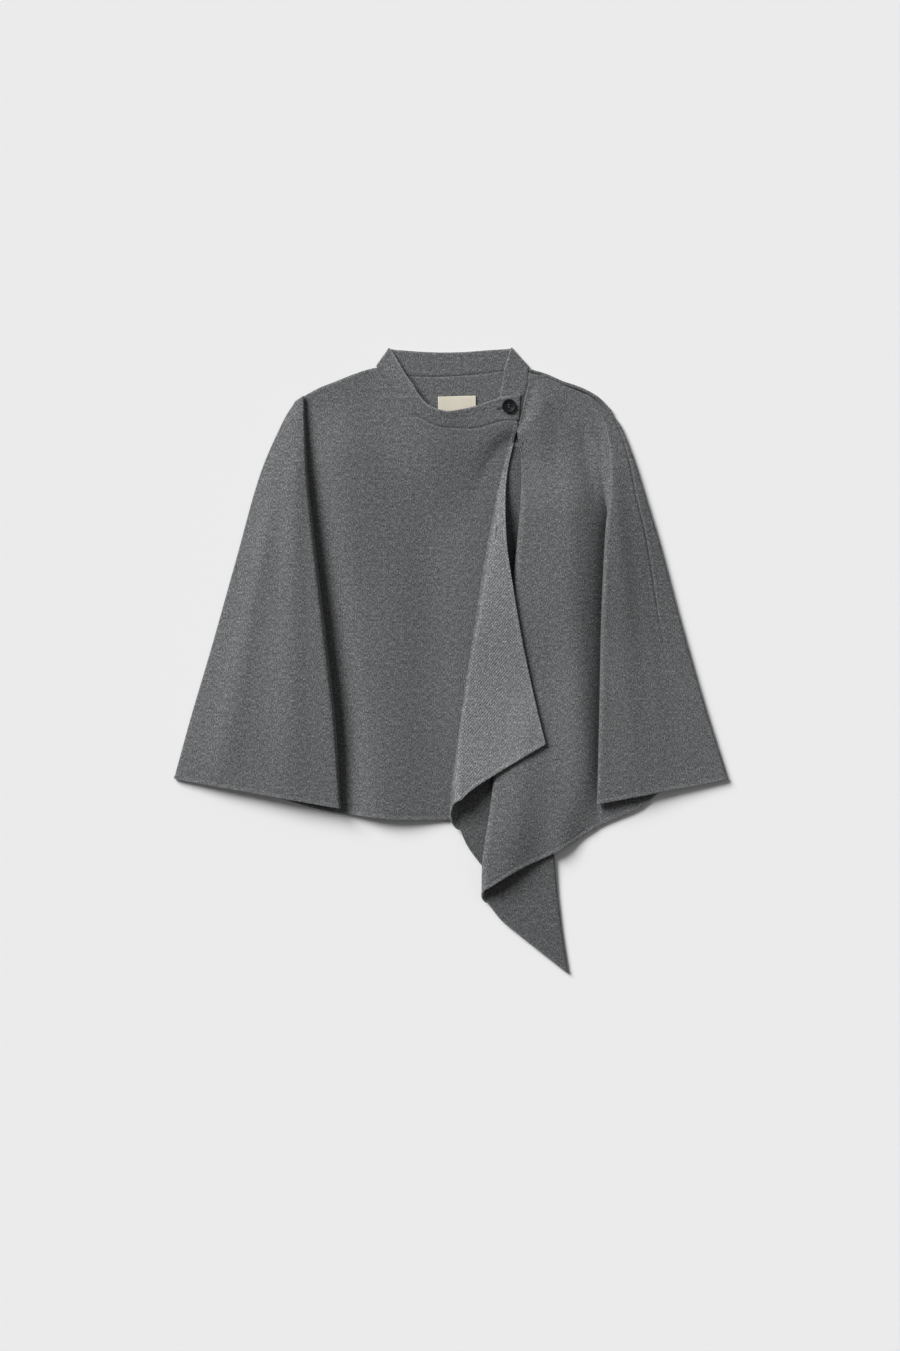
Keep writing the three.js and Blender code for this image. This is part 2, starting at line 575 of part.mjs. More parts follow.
function post(radius, low, high, x, y, sides) {
  const geometry = new THREE.CylinderGeometry(radius, radius, high - low, sides);
  return geometry.rotateX(Math.PI / 2).translate(x, y, (low + high) / 2);
}

// Button, buttonhole and thread
const slot = { length: 25, width: 3.6, angle: 0.26, offset: 9.5 };
const threadDisc = { radius: 3, low: tabLevel + cloth / 2 + layerGap, height: 0.6 };
const buttonLow = threadDisc.low + threadDisc.height + layerGap;
const holes = { pitch: 3.4, radius: 1, thread: 0.6 };
const wellDepth = 1;

function stitchPlaces() {
  return [-1, 1].flatMap((sx) => [-1, 1].map((sy) => ({
    x: buttonCentre.x + (sx * holes.pitch) / 2,
    y: buttonCentre.y + (sy * holes.pitch) / 2,
  })));
}

function collar() {
  const sections = collarSections();
  const rows = sections[0].map((_, k) => sections.map((line) => line[k]));
  const buttonhole = new THREE.BoxGeometry(slot.length, slot.width, cloth * 1.8);
  buttonhole.translate(-slot.offset, 0, 0).rotateZ(slot.angle);
  buttonhole.translate(buttonCentre.x, buttonCentre.y, tabLevel);
  const band = solidOf(wall(rows.map((row) => [...row].reverse()), cloth));
  return geometryOf(band.subtract(solidOf(buttonhole)));
}

function button() {
  const radius = buttonDiameter / 2;
  const top = buttonLow + buttonHeight;
  const profile = [[0, buttonLow], [radius * 0.82, buttonLow], [radius * 0.95, buttonLow + 0.6],
    [radius, buttonLow + 1.5], [radius * 0.96, top - 0.3], [radius * 0.86, top], [radius * 0.74, top - 0.35],
    [radius * 0.6, top - wellDepth], [0, top - wellDepth]].map(([r, z]) => new THREE.Vector2(r, z));
  const disc = new THREE.LatheGeometry(profile, 32).rotateX(Math.PI / 2);
  disc.translate(buttonCentre.x, buttonCentre.y, 0);
  let solid = solidOf(disc);
  for (const { x, y } of stitchPlaces()) {
    solid = solid.subtract(solidOf(post(holes.radius, buttonLow - 1, top + 1, x, y, 10)));
  }
  return geometryOf(solid);
}

function thread() {
  const barHeight = buttonLow + buttonHeight - wellDepth + layerGap;
  const { x: cx, y: cy } = buttonCentre;
  const discTop = threadDisc.low + threadDisc.height;
  let solid = solidOf(post(threadDisc.radius, threadDisc.low, discTop, cx, cy, 16));
  const shankLow = underlapLevel + cloth / 2 + layerGap;
  solid = solid.add(solidOf(post(1.2, shankLow, threadDisc.low + 0.1, cx, cy, 12)));
  for (const { x, y } of stitchPlaces()) {
    solid = solid.add(solidOf(post(holes.thread, discTop - 0.1, barHeight + 0.3, x, y, 8)));
  }
  for (const side of [-1, 1]) {
    const bar = new THREE.BoxGeometry(holes.pitch + 2 * holes.thread, 2 * holes.thread, 0.7);
    solid = solid.add(solidOf(bar.translate(cx, cy + (side * holes.pitch) / 2, barHeight + 0.35)));
  }
  return geometryOf(solid);
}

function label() {
  const low = cloth + layerGap;
  const tape = new THREE.BoxGeometry(labelSize.width, labelSize.height, labelSize.thickness);
  return tape.rotateZ(0.026).translate(9, 363.5, low + labelSize.thickness / 2);
}

// The whole garment
const group = new THREE.Group();
group.name = 'wool_cape_coat';

function add(name, geometry, colour, roughness) {
  const material = new THREE.MeshStandardMaterial({ color: colour, roughness, metalness: 0 });
  const mesh = new THREE.Mesh(geometry, material);
  mesh.name = name;
  group.add(mesh);
}

const woolGrey = 0x646566;
add('back_panel', wall(backPanel(), cloth), woolGrey, 0.95);
add('right_front', wall(rightFront(), cloth), woolGrey, 0.95);
add('left_front', wall(leftFront(), cloth), woolGrey, 0.95);
add('stand_collar', collar(), woolGrey, 0.95);
add('neck_label', label(), 0xd1cbbb, 0.8);
add('button', button(), 0x1b1b1d, 0.35);
add('button_thread', thread(), 0x2a2a2c, 0.8);

export default group;
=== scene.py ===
"""Wool cape coat with a stand collar and a draped front, laid flat on its back under soft studio light.

The frame is that of the solids: metres, +Z up, +Y from hem to collar. Tables and outlines are in
millimetres and become metres when a mesh is made.
"""

import math

import bpy
import numpy as np
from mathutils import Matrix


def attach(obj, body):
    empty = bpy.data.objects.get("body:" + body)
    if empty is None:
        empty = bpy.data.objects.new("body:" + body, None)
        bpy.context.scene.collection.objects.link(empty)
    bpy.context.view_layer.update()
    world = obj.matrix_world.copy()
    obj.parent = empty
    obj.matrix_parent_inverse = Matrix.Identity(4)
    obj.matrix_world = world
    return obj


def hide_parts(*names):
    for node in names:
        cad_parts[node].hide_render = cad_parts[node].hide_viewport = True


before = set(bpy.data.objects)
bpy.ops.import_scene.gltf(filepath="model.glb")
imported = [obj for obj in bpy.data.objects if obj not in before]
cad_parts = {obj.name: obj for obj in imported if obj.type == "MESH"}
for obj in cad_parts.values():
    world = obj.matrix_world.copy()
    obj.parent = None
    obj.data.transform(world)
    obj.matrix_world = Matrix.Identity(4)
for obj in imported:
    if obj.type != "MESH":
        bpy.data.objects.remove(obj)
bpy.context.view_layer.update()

# ---- Camera ----
# The photograph looks straight down through a long lens. Its 1351 pixels cover 1.959 m of the table,
# and the middle of the frame lies a little below the middle of the garment.
CAMERA_HEIGHT = 4.0
FRAME_LENGTH = 1.959
camera_data = bpy.data.cameras.new("camera")
camera_data.sensor_width = 36
camera_data.lens = 36 * CAMERA_HEIGHT / FRAME_LENGTH
camera = bpy.data.objects.new("camera", camera_data)
camera.location = (-0.0015, -0.0218, CAMERA_HEIGHT + 0.006)
bpy.context.scene.collection.objects.link(camera)
bpy.context.scene.camera = camera

# ---- Studio ----
# A smooth, pale grey table between two wide softboxes, the stronger one at the left, with a third one
# beyond the collar, and a little light from the room all round.


def linear(hex_colour, alpha=1.0):
    """A colour written as sRGB hex, in the linear values that shaders take."""
    channels = [int(hex_colour[k : k + 2], 16) / 255 for k in (1, 3, 5)]
    return [c / 12.92 if c <= 0.04045 else ((c + 0.055) / 1.055) ** 2.4 for c in channels] + [alpha]


def add_node(tree, kind, inputs=None, **settings):
    """Adds a node, makes its settings, and fills or links its inputs."""
    node = tree.nodes.new(kind)
    for name, value in settings.items():
        setattr(node, name, value)
    for key, value in (inputs or {}).items():
        if isinstance(value, bpy.types.NodeSocket):
            tree.links.new(value, node.inputs[key])
        else:
            node.inputs[key].default_value = value
    return node


def new_material(name, surface, bump=None):
    """A material on the Principled shader. surface and bump take the node tree and return inputs."""
    material = bpy.data.materials.new(name)
    material.use_nodes = True
    tree = material.node_tree
    tree.nodes.clear()
    shader = add_node(tree, "ShaderNodeBsdfPrincipled", surface(tree))
    if bump:
        tree.links.new(bump(tree), shader.inputs["Normal"])
    add_node(tree, "ShaderNodeOutputMaterial", {"Surface": shader.outputs[0]})
    return material


def new_object(name, points, faces, material):
    """A mesh object at the origin, from points in metres."""
    mesh = bpy.data.meshes.new(name)
    mesh.from_pydata([tuple(map(float, p)) for p in points], [], [tuple(map(int, f)) for f in faces])
    mesh.materials.append(material)
    piece = bpy.data.objects.new(name, mesh)
    bpy.context.scene.collection.objects.link(piece)
    return piece


def paper_surface(tree):
    place = add_node(tree, "ShaderNodeTexCoord").outputs["Object"]
    grain = add_node(tree, "ShaderNodeTexNoise", {"Vector": place, "Scale": 900.0, "Detail": 2.0})
    colour = add_node(tree, "ShaderNodeMix", {"Factor": grain.outputs["Fac"], 6: linear("#eeeeee"),
                                              7: linear("#f0f0f0")}, data_type="RGBA")
    return {"Base Color": colour.outputs[2], "Roughness": 0.9, "Specular IOR Level": 0.1}


# matte background paper: a very fine even grain, no gloss
paper = new_material("matte_background_paper", paper_surface)
table = new_object("table", [(-6, -6, -0.0004), (6, -6, -0.0004), (6, 6, -0.0004), (-6, 6, -0.0004)],
                   [(0, 1, 2, 3)], paper)

for light_name, strength, spread, tilt, turn in (("left", 4.4, 32, 56, 46), ("right", 0.16, 60, 45, -85),
                                                 ("top", 0.15, 70, 48, -12)):
    light_data = bpy.data.lights.new(light_name + "_softbox", "SUN")
    light_data.energy = strength
    light_data.angle = math.radians(spread)
    light = bpy.data.objects.new(light_name + "_softbox", light_data)
    light.rotation_euler = (math.radians(-tilt), 0, math.radians(turn))
    bpy.context.scene.collection.objects.link(light)
world = bpy.data.worlds.new("white_room")
world.use_nodes = True
world.node_tree.nodes["Background"].inputs["Color"].default_value = linear("#ffffff")
world.node_tree.nodes["Background"].inputs["Strength"].default_value = 0.11
bpy.context.scene.world = world
bpy.context.scene.view_settings.view_transform = "Standard"

# ---- Wool cloth ----
# Double-faced wool melton, milled and brushed so that its nap hides the weave. Dark, middle and pale
# fibres are mixed before spinning, which gives the speckle. Turned hems are a little thicker.
CLOTH = 2.2
LAYER_GAP = 0.3
SEAM_GAP = 0.12
BACK_LEVEL = CLOTH / 2
FRONT_LEVEL = BACK_LEVEL + CLOTH + LAYER_GAP
DRAPE_LEVEL = FRONT_LEVEL + CLOTH + LAYER_GAP
HEM_WIDTH = 7.0


def wool_colour(tree):
    """Fibres of three greys in short flecks along the yarn, and a slow change over the cloth.

    The turned flap is paler, partly by the wrong side's own tone and partly by painted light where it
    faces the lamp. A pale rim of painted sheen runs along the hems, and the layers folded under the body
    are darkened by painted shade for the shadow of the body above them.
    """
    cloth = add_node(tree, "ShaderNodeUVMap", uv_map="cloth").outputs["UV"]
    fibres = add_node(tree, "ShaderNodeMapping", {"Vector": cloth, "Scale": (1.0, 0.55, 1.0)}).outputs[0]
    # flecks of 2 mm: real ones are finer, and these are as fine as the render shows
    fleck = add_node(tree, "ShaderNodeTexNoise", {"Vector": fibres, "Scale": 640.0, "Detail": 2.0,
                                                  "Roughness": 0.6})
    cluster = add_node(tree, "ShaderNodeTexNoise", {"Vector": cloth, "Scale": 150.0, "Detail": 2.0})
    slow = add_node(tree, "ShaderNodeTexNoise", {"Vector": cloth, "Scale": 9.0, "Detail": 2.0})
    mixed = add_node(tree, "ShaderNodeMath", {0: cluster.outputs["Fac"], 1: 0.25, 2: fleck.outputs["Fac"]},
                     operation="MULTIPLY_ADD")
    heather = add_node(tree, "ShaderNodeValToRGB", {"Fac": mixed.outputs[0]})
    ramp = heather.color_ramp
    ramp.elements[0].position, ramp.elements[0].color = 0.42, linear("#434445")
    ramp.elements[1].position, ramp.elements[1].color = 0.86, linear("#8f9091")
    middle = ramp.elements.new(0.63)
    middle.color = linear("#626364")
    shade = add_node(tree, "ShaderNodeMapRange", {"Value": slow.outputs["Fac"], "To Min": 0.93,
                                                  "To Max": 1.07})
    # wrong-side value: lightens the flap, partly with painted light, and darkens the folded-under layers with
    # painted shade
    wrong_side_and_painted_light = add_node(tree, "ShaderNodeAttribute", attribute_name="wrong_side_and_painted_light").outputs["Fac"]
    paler = add_node(tree, "ShaderNodeMath", {0: wrong_side_and_painted_light, 1: 0.47, 2: shade.outputs[0]},
                     operation="MULTIPLY_ADD")
    # painted sheen: a pale rim along the hems
    hem_sheen = add_node(tree, "ShaderNodeAttribute", attribute_name="hem_painted_sheen").outputs["Fac"]
    pale = add_node(tree, "ShaderNodeMath", {0: hem_sheen, 1: 0.5, 2: paler.outputs[0]},
                    operation="MULTIPLY_ADD")
    return add_node(tree, "ShaderNodeVectorMath", {0: heather.outputs["Color"], 1: pale.outputs[0]},
                    operation="MULTIPLY").outputs[0]


def wool_surface(tree):
    return {"Base Color": wool_colour(tree), "Roughness": 0.95, "Specular IOR Level": 0.12,
            "Sheen Weight": 0.6, "Sheen Roughness": 0.3}


def wool_bump(tree):
    """Nap of matted fibres over the faint slanting ribs of the twill."""
    cloth = add_node(tree, "ShaderNodeUVMap", uv_map="cloth").outputs["UV"]
    nap = add_node(tree, "ShaderNodeTexNoise", {"Vector": cloth, "Scale": 420.0, "Detail": 3.0,
                                                "Roughness": 0.7})
    slant = add_node(tree, "ShaderNodeMapping", {"Vector": cloth, "Rotation": (0, 0, math.radians(38))})
    # ribs 3.2 mm apart: real ones lie about 1.5 mm apart, too fine to show
    rib = add_node(tree, "ShaderNodeTexWave", {"Vector": slant.outputs[0], "Scale": 98.0, "Distortion": 2.2,
                                               "Detail": 2.0, "Detail Scale": 2.0})
    wrong_side_and_painted_light = add_node(tree, "ShaderNodeAttribute", attribute_name="wrong_side_and_painted_light").outputs["Fac"]
    rib_share = add_node(tree, "ShaderNodeMath", {0: wrong_side_and_painted_light, 1: 0.4, 2: 0.1}, operation="MULTIPLY_ADD")
    height = add_node(tree, "ShaderNodeMath", {0: rib.outputs["Fac"], 1: rib_share.outputs[0],
                                               2: nap.outputs["Fac"]}, operation="MULTIPLY_ADD")
    return add_node(tree, "ShaderNodeBump", {"Height": height.outputs[0], "Strength": 0.55,
                                             "Distance": 0.0011}).outputs[0]


wool = new_material("brushed_wool_melton", wool_surface, wool_bump)


def table_of(columns, *rows):
    """A table with named columns, as a dictionary of arrays."""
    return {name: np.array([row[k] for row in rows], float) for k, name in enumerate(columns.split())}


def from_table(table, column, down):
    """Values of a table at places down the panel, on a smooth line through its rows."""
    x, y = table["down"], table[column]
    down = np.asarray(down, float)
    i = np.clip(np.searchsorted(x, down) - 1, 0, len(x) - 2)

    def slope(k):
        before, after = np.maximum(k - 1, 0), np.minimum(k + 1, len(x) - 1)
        return (y[after] - y[before]) / (x[after] - x[before])

    width = x[i + 1] - x[i]
    s = (down - x[i]) / width
    start = y[i] * (1 + 2 * s) * (1 - s) ** 2 + slope(i) * width * s * (1 - s) ** 2
    end = y[i + 1] * s * s * (3 - 2 * s) + slope(i + 1) * width * s * s * (s - 1)
    return start + end


def ease(share):
    s = np.clip(share, 0, 1)
    return s * s * (3 - 2 * s)


def mix(a, b, share):
    return a + (b - a) * share


def column(values):
    return np.asarray(values, float)[..., None]


def smooth_line(points, fine=40):
    """Many points on a smooth line through the given ones, and how far along each lies."""
    p = np.array(points, float)
    p = np.vstack([2 * p[0] - p[1], p, 2 * p[-1] - p[-2]])
    line = []
    for a, b, c, d in zip(p, p[1:], p[2:], p[3:]):
        ab, bc, cd = (max(np.linalg.norm(q - r) ** 0.5, 1e-4) for q, r in ((a, b), (b, c), (c, d)))
        leave = ((b - a) / ab - (c - a) / (ab + bc) + (c - b) / bc) * bc
        arrive = ((c - b) / bc - (d - b) / (bc + cd) + (d - c) / cd) * bc
        s = column(np.arange(fine) / fine)
        line.append((1 + 2 * s) * (1 - s) ** 2 * b + s * (1 - s) ** 2 * leave
                    + s * s * (3 - 2 * s) * c + s * s * (s - 1) * arrive)
    line = np.vstack(line + [p[-2:-1]])
    run = np.append(0, np.cumsum(np.linalg.norm(np.diff(line, axis=0), axis=1)))
    return line, run / run[-1]


def along(points, shares):
    """Points at the given shares of the length of a smooth line."""
    line, run = smooth_line(points)
    return np.stack([np.interp(shares, run, line[:, k]) for k in range(line.shape[1])], axis=-1)


def one_after_another(shares, *lines):
    """Points on several lines in a row. Each line comes with its part of the whole."""
    whole = sum(part for part, _ in lines)
    points, start = np.zeros((len(shares), 2)), 0.0
    for part, line in lines:
        inside = (shares >= start - 1e-9) & (shares <= start + part / whole + 1e-9)
        points[inside] = along(line, np.clip((shares[inside] - start) * whole / part, 0, 1))
        start += part / whole
    return points


def even(count):
    return np.linspace(0, 1, count)


def close_to_ends(count, first=False, last=False):
    """Shares from 0 to 1 that lie closer together near the ends named."""
    s = even(count)
    if first and last:
        return (1 - np.cos(np.pi * s)) / 2 * 0.85 + s * 0.15
    if last:
        return 1 - (1 - s) ** 1.7 * 0.9 - (1 - s) * 0.1
    if first:
        return s ** 1.7 * 0.9 + s * 0.1
    return s


def net(top, bottom, left, right, across, down, fade=1):
    """Points between four edges. fade says how soon the rows lose the shape of the top edge."""
    u, v = column(across)[None], column(down)[:, None]

    def bow(edge):
        return (edge - (edge[0] * (1 - u[0]) + edge[-1] * u[0]))[None]

    return left[:, None] * (1 - u) + right[:, None] * u + bow(top) * (1 - v) ** fade + bow(bottom) * v


def with_height(plan, height):
    height = np.broadcast_to(height, plan.shape[:2])
    return np.concatenate([plan, height[..., None]], axis=2)


def bend(start, end, outwards, bulge, steps):
    """Bends of cloth from one layer to the next, one for each row, without the two end points."""
    outwards = np.broadcast_to(outwards, start.shape)
    angle = np.pi * np.arange(1, steps) / steps
    middle, half = (start + end) / 2, (start - end) / 2
    return (middle[:, None] + half[:, None] * np.cos(angle)[None, :, None]
            + outwards[:, None] * column(bulge)[:, None] * np.sin(angle)[None, :, None])


def flat_direction(x, y):
    length = np.hypot(x, y)
    return np.stack([x / length, y / length, 0 * length], axis=-1)


def edge_form(distance, kind):
    """How much thicker the cloth is near an edge: a hem is turned once, a seam is pressed open and a
    selvedge thins out.
    """
    if kind == "hem":
        turned = 0.95 * np.exp(-((distance / (0.75 * HEM_WIDTH)) ** 4))
        groove = 0.5 * np.exp(-(((distance - HEM_WIDTH) / 1.3) ** 2))
        rounded = 1.1 * np.exp(-((distance / 0.9) ** 2))
        return turned - groove - rounded
    if kind == "thin":
        return -1.3 * np.exp(-((distance / 3.0) ** 2))
    return 0.5 * np.exp(-(((distance - 4.2) / 2.6) ** 2)) - 1.5 * np.exp(-((distance / 1.5) ** 2))


def cloth_shell(name, grid, edges, lift=None, wrong_side_and_painted_light=None, material=wool, cloth=CLOTH):
    """A closed wall of cloth round a net of points, with its own map in metres of cloth.

    edges gives, for each finished edge of the net, its kind and how strongly it shows. lift raises the
    net by a height that depends on x and y. The wrong-side values lighten the colour where the paler
    wrong side shows, partly with painted light, and negative values darken it with painted shade.
    """
    grid = grid.copy()
    if lift is not None:
        grid[..., 2] += lift(grid[..., 0], grid[..., 1])
    height, width = grid.shape[:2]
    across = np.zeros((height, width))
    across[:, 1:] = np.cumsum(np.linalg.norm(np.diff(grid, axis=1), axis=2), axis=1)
    down = np.zeros((height, width))
    down[1:] = np.cumsum(np.linalg.norm(np.diff(grid, axis=0), axis=2), axis=0)
    distances = {"top": down, "bottom": down[-1:] - down, "left": across, "right": across[:, -1:] - across}
    thickness = np.full((height, width), float(cloth))
    hem_sheen = np.zeros((height, width))
    for edge, (kind, amount) in edges.items():
        thickness = thickness + edge_form(distances[edge], kind) * np.reshape(amount, (-1, 1))
        # painted sheen: the colour is paler within a few millimetres of each hem
        if kind == "hem":
            hem_sheen = np.maximum(hem_sheen, np.exp(-((distances[edge] / 2.4) ** 2)))
    slope_across = np.gradient(grid, axis=1)
    slope_down = np.gradient(grid, axis=0)
    normal = np.cross(slope_down, slope_across)
    normal /= np.maximum(np.linalg.norm(normal, axis=2, keepdims=True), 1e-9)
    offset = normal * column(thickness) / 2
    points = np.concatenate([(grid + offset).reshape(-1, 3), (grid - offset).reshape(-1, 3)]) * 0.001
    # the table presses the thicker hems flat from below
    points[:, 2] = np.maximum(points[:, 2], 0)
    a = (np.arange(height - 1)[:, None] * width + np.arange(width - 1)[None]).ravel()
    behind = height * width
    front_faces = np.stack([a, a + width, a + width + 1, a + 1], axis=1)
    back_faces = behind + front_faces[:, ::-1]
    rim = np.concatenate([np.arange(width - 1, 0, -1), np.arange(height - 1) * width,
                          (height - 1) * width + np.arange(width - 1),
                          np.arange(height - 1, 0, -1) * width + width - 1])
    after = np.roll(rim, -1)
    rim_faces = np.stack([after, rim, behind + rim, behind + after], axis=1)
    faces = np.concatenate([front_faces, back_faces, rim_faces])
    piece = new_object(name, points, faces, material)
    # an edge in a seam is square and any other is rounded
    ends = [edges.get(edge, ("", 0))[0] == "seam" for edge in ("top", "left", "bottom", "right")]
    flat_ends = np.repeat(ends, [width - 1, height - 1, width - 1, height - 1])
    piece.data.polygons.foreach_set("use_smooth", np.append(np.ones(2 * len(a), bool), ~flat_ends))
    step = np.abs(np.diff(grid, axis=1))
    climb = np.zeros((height, width))
    climb[:, 1:] = np.cumsum(np.maximum(step[..., 2] - 1.2 * np.hypot(step[..., 0], step[..., 1]), 0), axis=1)
    uv = np.stack([grid[..., 0] + climb, grid[..., 1]], axis=-1).reshape(-1, 2) * 0.001
    uv = np.concatenate([uv, uv])
    loops = np.zeros(len(piece.data.loops), int)
    piece.data.loops.foreach_get("vertex_index", loops)
    piece.data.uv_layers.new(name="cloth").data.foreach_set("uv", uv[loops].ravel())
    shown = np.zeros((height, width)) if wrong_side_and_painted_light is None else wrong_side_and_painted_light
    for attribute, values in (("wrong_side_and_painted_light", shown), ("hem_painted_sheen", hem_sheen)):
        data = piece.data.attributes.new(attribute, "FLOAT", "POINT").data
        data.foreach_set("value", np.tile(values.ravel(), 2))
    return piece


def finish_panel(piece, node):
    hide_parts(node)
    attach(piece, "root")


# Soft folds that the cloth lies in. Each runs from head to foot and is given by its half width at
# the head and at the foot and by its height.
soft_folds = table_of(
    "head_x head_y foot_x foot_y head_width foot_width height",
    (-224, 330, -234, -170, 11, 24, 3.6),
    (-262, 235, -330, -150, 13, 24, 4.2),
    (-186, 330, -120, -200, 20, 36, 1.6),
    (-60, 250, -92, -225, 30, 48, 1.8),
    (28, 250, -12, -225, 34, 40, 1.4),
    (132, 330, 150, -40, 16, 26, 1.2),
    (168, 372, 176, -120, 14, 30, 2.6),
    (238, 300, 264, -190, 10, 30, 3.0),
    (268, 250, 316, -170, 7, 20, 2.6),
    (112, -60, 92, -300, 20, 26, 2.4),
    (190, 366, 208, 215, 11, 12, -2.2),
)


def soft_lift(x, y):
    """How far the soft folds lift the cloth. A long fold fades out at its head and foot."""
    total = np.zeros_like(x)
    for head_x, head_y, foot_x, foot_y, head_width, foot_width, height in zip(*soft_folds.values()):
        run_x, run_y = foot_x - head_x, foot_y - head_y
        length = math.hypot(run_x, run_y)
        t = ((x - head_x) * run_x + (y - head_y) * run_y) / length ** 2
        side = ((x - head_x) * run_y - (y - head_y) * run_x) / length
        width = mix(head_width, foot_width, np.clip(t, 0, 1))
        total += height * np.exp(-((side / width) ** 2)) * ease((t + 0.12) / 0.3) * ease((1.18 - t) / 0.3)
    return total


def across_at(y, line_x, line_y):
    """Where a line that runs down the panel lies across it at the height y."""
    return np.interp(y, line_y[::-1], line_x[::-1])


# ---- Back panel ----
# One piece of wool from the neck to the hem. It lies flat on the table, and at the wearer's left it
# turns over the wing's outer edge as far as the side seam that shows on the front.
downs = np.unique(np.concatenate([0.11 * even(26) ** 1.6, mix(0.11, 0.962, even(120)),
                                  1 - 0.038 * even(26) ** 1.5]))
right_wing = table_of(
    "down foldX foldY edgeX edgeY turn depth inner outer rim seam slope",
    (0, -214, 383, -223.5, 377.5, 178, 1.2, 1.6, 2, 3.3, 4.5, -0.5),
    (0.08, -212.5, 340, -243, 346, 177, 10, 1.6, 4, 2.6, 9, 0),
    (0.2, -208.5, 270, -275.5, 271, 176, 28, 1.6, 7, 2.6, 15, 0),
    (0.4, -196.5, 158, -310, 149, 176, 52, 1.6, 9.5, 2.8, 26, 0),
    (0.6, -182, 36, -345.5, 22, 176, 68, 1.6, 10.5, 2.8, 38, 0),
    (0.8, -168, -90, -374.5, -76, 176, 80, 1.6, 9.5, 2.8, 50, 0.07),
    (1, -161, -214, -401, -172, 176, 90, 1.6, 5, 2.6, 62, 0.17),
)
left_wing = table_of(
    "down foldX foldY edgeX edgeY turn depth inner outer rim seam slope",
    (0, 204, 381, 232, 357.5, 14, 6, 10, 8, 1.9, 3.2, -0.7),
    (0.1, 226, 335, 246.5, 337, 14, 11, 15, 10, 2.1, 3.8, -0.2),
    (0.2, 232, 288, 265.5, 288, 24, 14, 10, 10, 2.6, 7, 0),
    (0.3, 230, 240, 281, 238, 62, 12, 5, 6, 2.8, 13, 0),
    (0.42, 223.5, 181, 301, 172, 135, 12, 3.5, 7, 2.8, 18, 0),
    (0.6, 218, 60, 331, 60, 172, 40, 2, 8, 2.8, 30, 0),
    (0.8, 215.5, -67, 366, -62, 175.5, 65, 1.6, 7, 2.8, 46, 0.09),
    (1, 212.5, -208, 401, -173, 178, 88, 1.6, 4, 2.6, 75, 0.18),
)
PLEAT_STEPS = 9
CREST_WIDTH = 0.45


def pleats(table, side, belly):
    """The pleat of a wing at every station down the panel, from its valley to its crest.

    belly is the power with which the wing sinks from its crest to its outer edge.
    """
    value = {name: from_table(table, name, downs) for name in table}
    outwards = flat_direction(np.full(len(downs), float(side)), value["slope"])
    turn = np.radians(value["turn"])
    inner, outer, depth = value["inner"], value["outer"], value["depth"]
    crest_in = CREST_WIDTH * outer * np.sin(np.minimum(turn, np.pi / 2))
    fold = np.stack([value["foldX"], value["foldY"], 0 * downs], axis=-1)
    spread = (inner + CREST_WIDTH * outer) * np.sin(turn) + depth * np.cos(turn)
    valley = fold + outwards * column(crest_in - spread)
    steps = even(PLEAT_STEPS)[None]
    first = column(turn) * steps
    last = column(turn) * (1 - steps)
    x = [column(inner) * np.sin(first)]
    z = [column(inner) * (1 - np.cos(first))]
    straight = even(9)[None, 1:-1]
    x.append(x[0][:, -1:] + column(depth * np.cos(turn)) * straight)
    z.append(z[0][:, -1:] + column(depth * np.sin(turn)) * straight)
    x.append(x[0][:, -1:] + column(depth * np.cos(turn))
             + CREST_WIDTH * column(outer) * (np.sin(column(turn)) - np.sin(last)))
    z.append(z[0][:, -1:] + column(depth * np.sin(turn))
             + column(outer) * (np.cos(last) - np.cos(column(turn))))
    x, z = np.concatenate(x, axis=1), np.concatenate(z, axis=1)
    points = valley[:, None] + outwards[:, None] * x[..., None]
    points[..., 2] = FRONT_LEVEL + z
    edge = np.stack([value["edgeX"], value["edgeY"], 0 * downs], axis=-1)
    end = edge - outwards * column(value["rim"])
    end[:, 2] = BACK_LEVEL + 2 * value["rim"]
    return {"outwards": outwards, "edge": edge, "points": points, "valley": valley[:, :2],
            "crest": points[:, -1], "end": end, "rim": value["rim"], "seam": value["seam"], "belly": belly}


def wing_top(wing, share):
    """Points on top of a wing. Share 0 is the crest of the pleat and 1 the turn of the outer edge."""
    share = np.atleast_2d(share)
    points = mix(wing["crest"][:, None], wing["end"][:, None], share[..., None])
    points[..., 2] = mix(wing["crest"][:, None, 2], wing["end"][:, None, 2],
                         np.maximum(share, 0) ** wing["belly"])
    return points


def seam_share(wing, extra):
    """How far across the top of a wing its side seam lies."""
    width = np.linalg.norm((wing["end"] - wing["crest"])[:, :2], axis=1)
    return 1 - (wing["seam"] - wing["rim"] + extra) / width


right = pleats(right_wing, -1, 1.8)
left = pleats(left_wing, 1, 1.0)

back_neck = [(-107, 425), (-85, 416), (-58, 412.5), (-9, 412), (50, 416.5), (78, 420), (112.5, 423)]
right_shoulder = [(-107, 425), (-121, 422), (-146, 413.5), (-168, 404.5), (-190, 396)]
left_shoulder = [(112.5, 423), (119, 421), (140, 414), (160, 405), (185, 396.5), (203, 388), (216, 379),
                 (232, 362)]
SHOULDER_SEAM_INSET = 3.3


def on_left_shoulder(shares, inset):
    """Points on the outline of the left shoulder moved inwards, and the outward direction there."""
    shares = np.clip(np.asarray(shares, float), 0, 1)
    step = np.clip([shares - 1e-3, shares + 1e-3], 0, 1)
    ahead = along(left_shoulder, step[1]) - along(left_shoulder, step[0])
    outwards = flat_direction(-ahead[:, 1], ahead[:, 0])
    return along(left_shoulder, shares) - outwards[:, :2] * column(inset), outwards


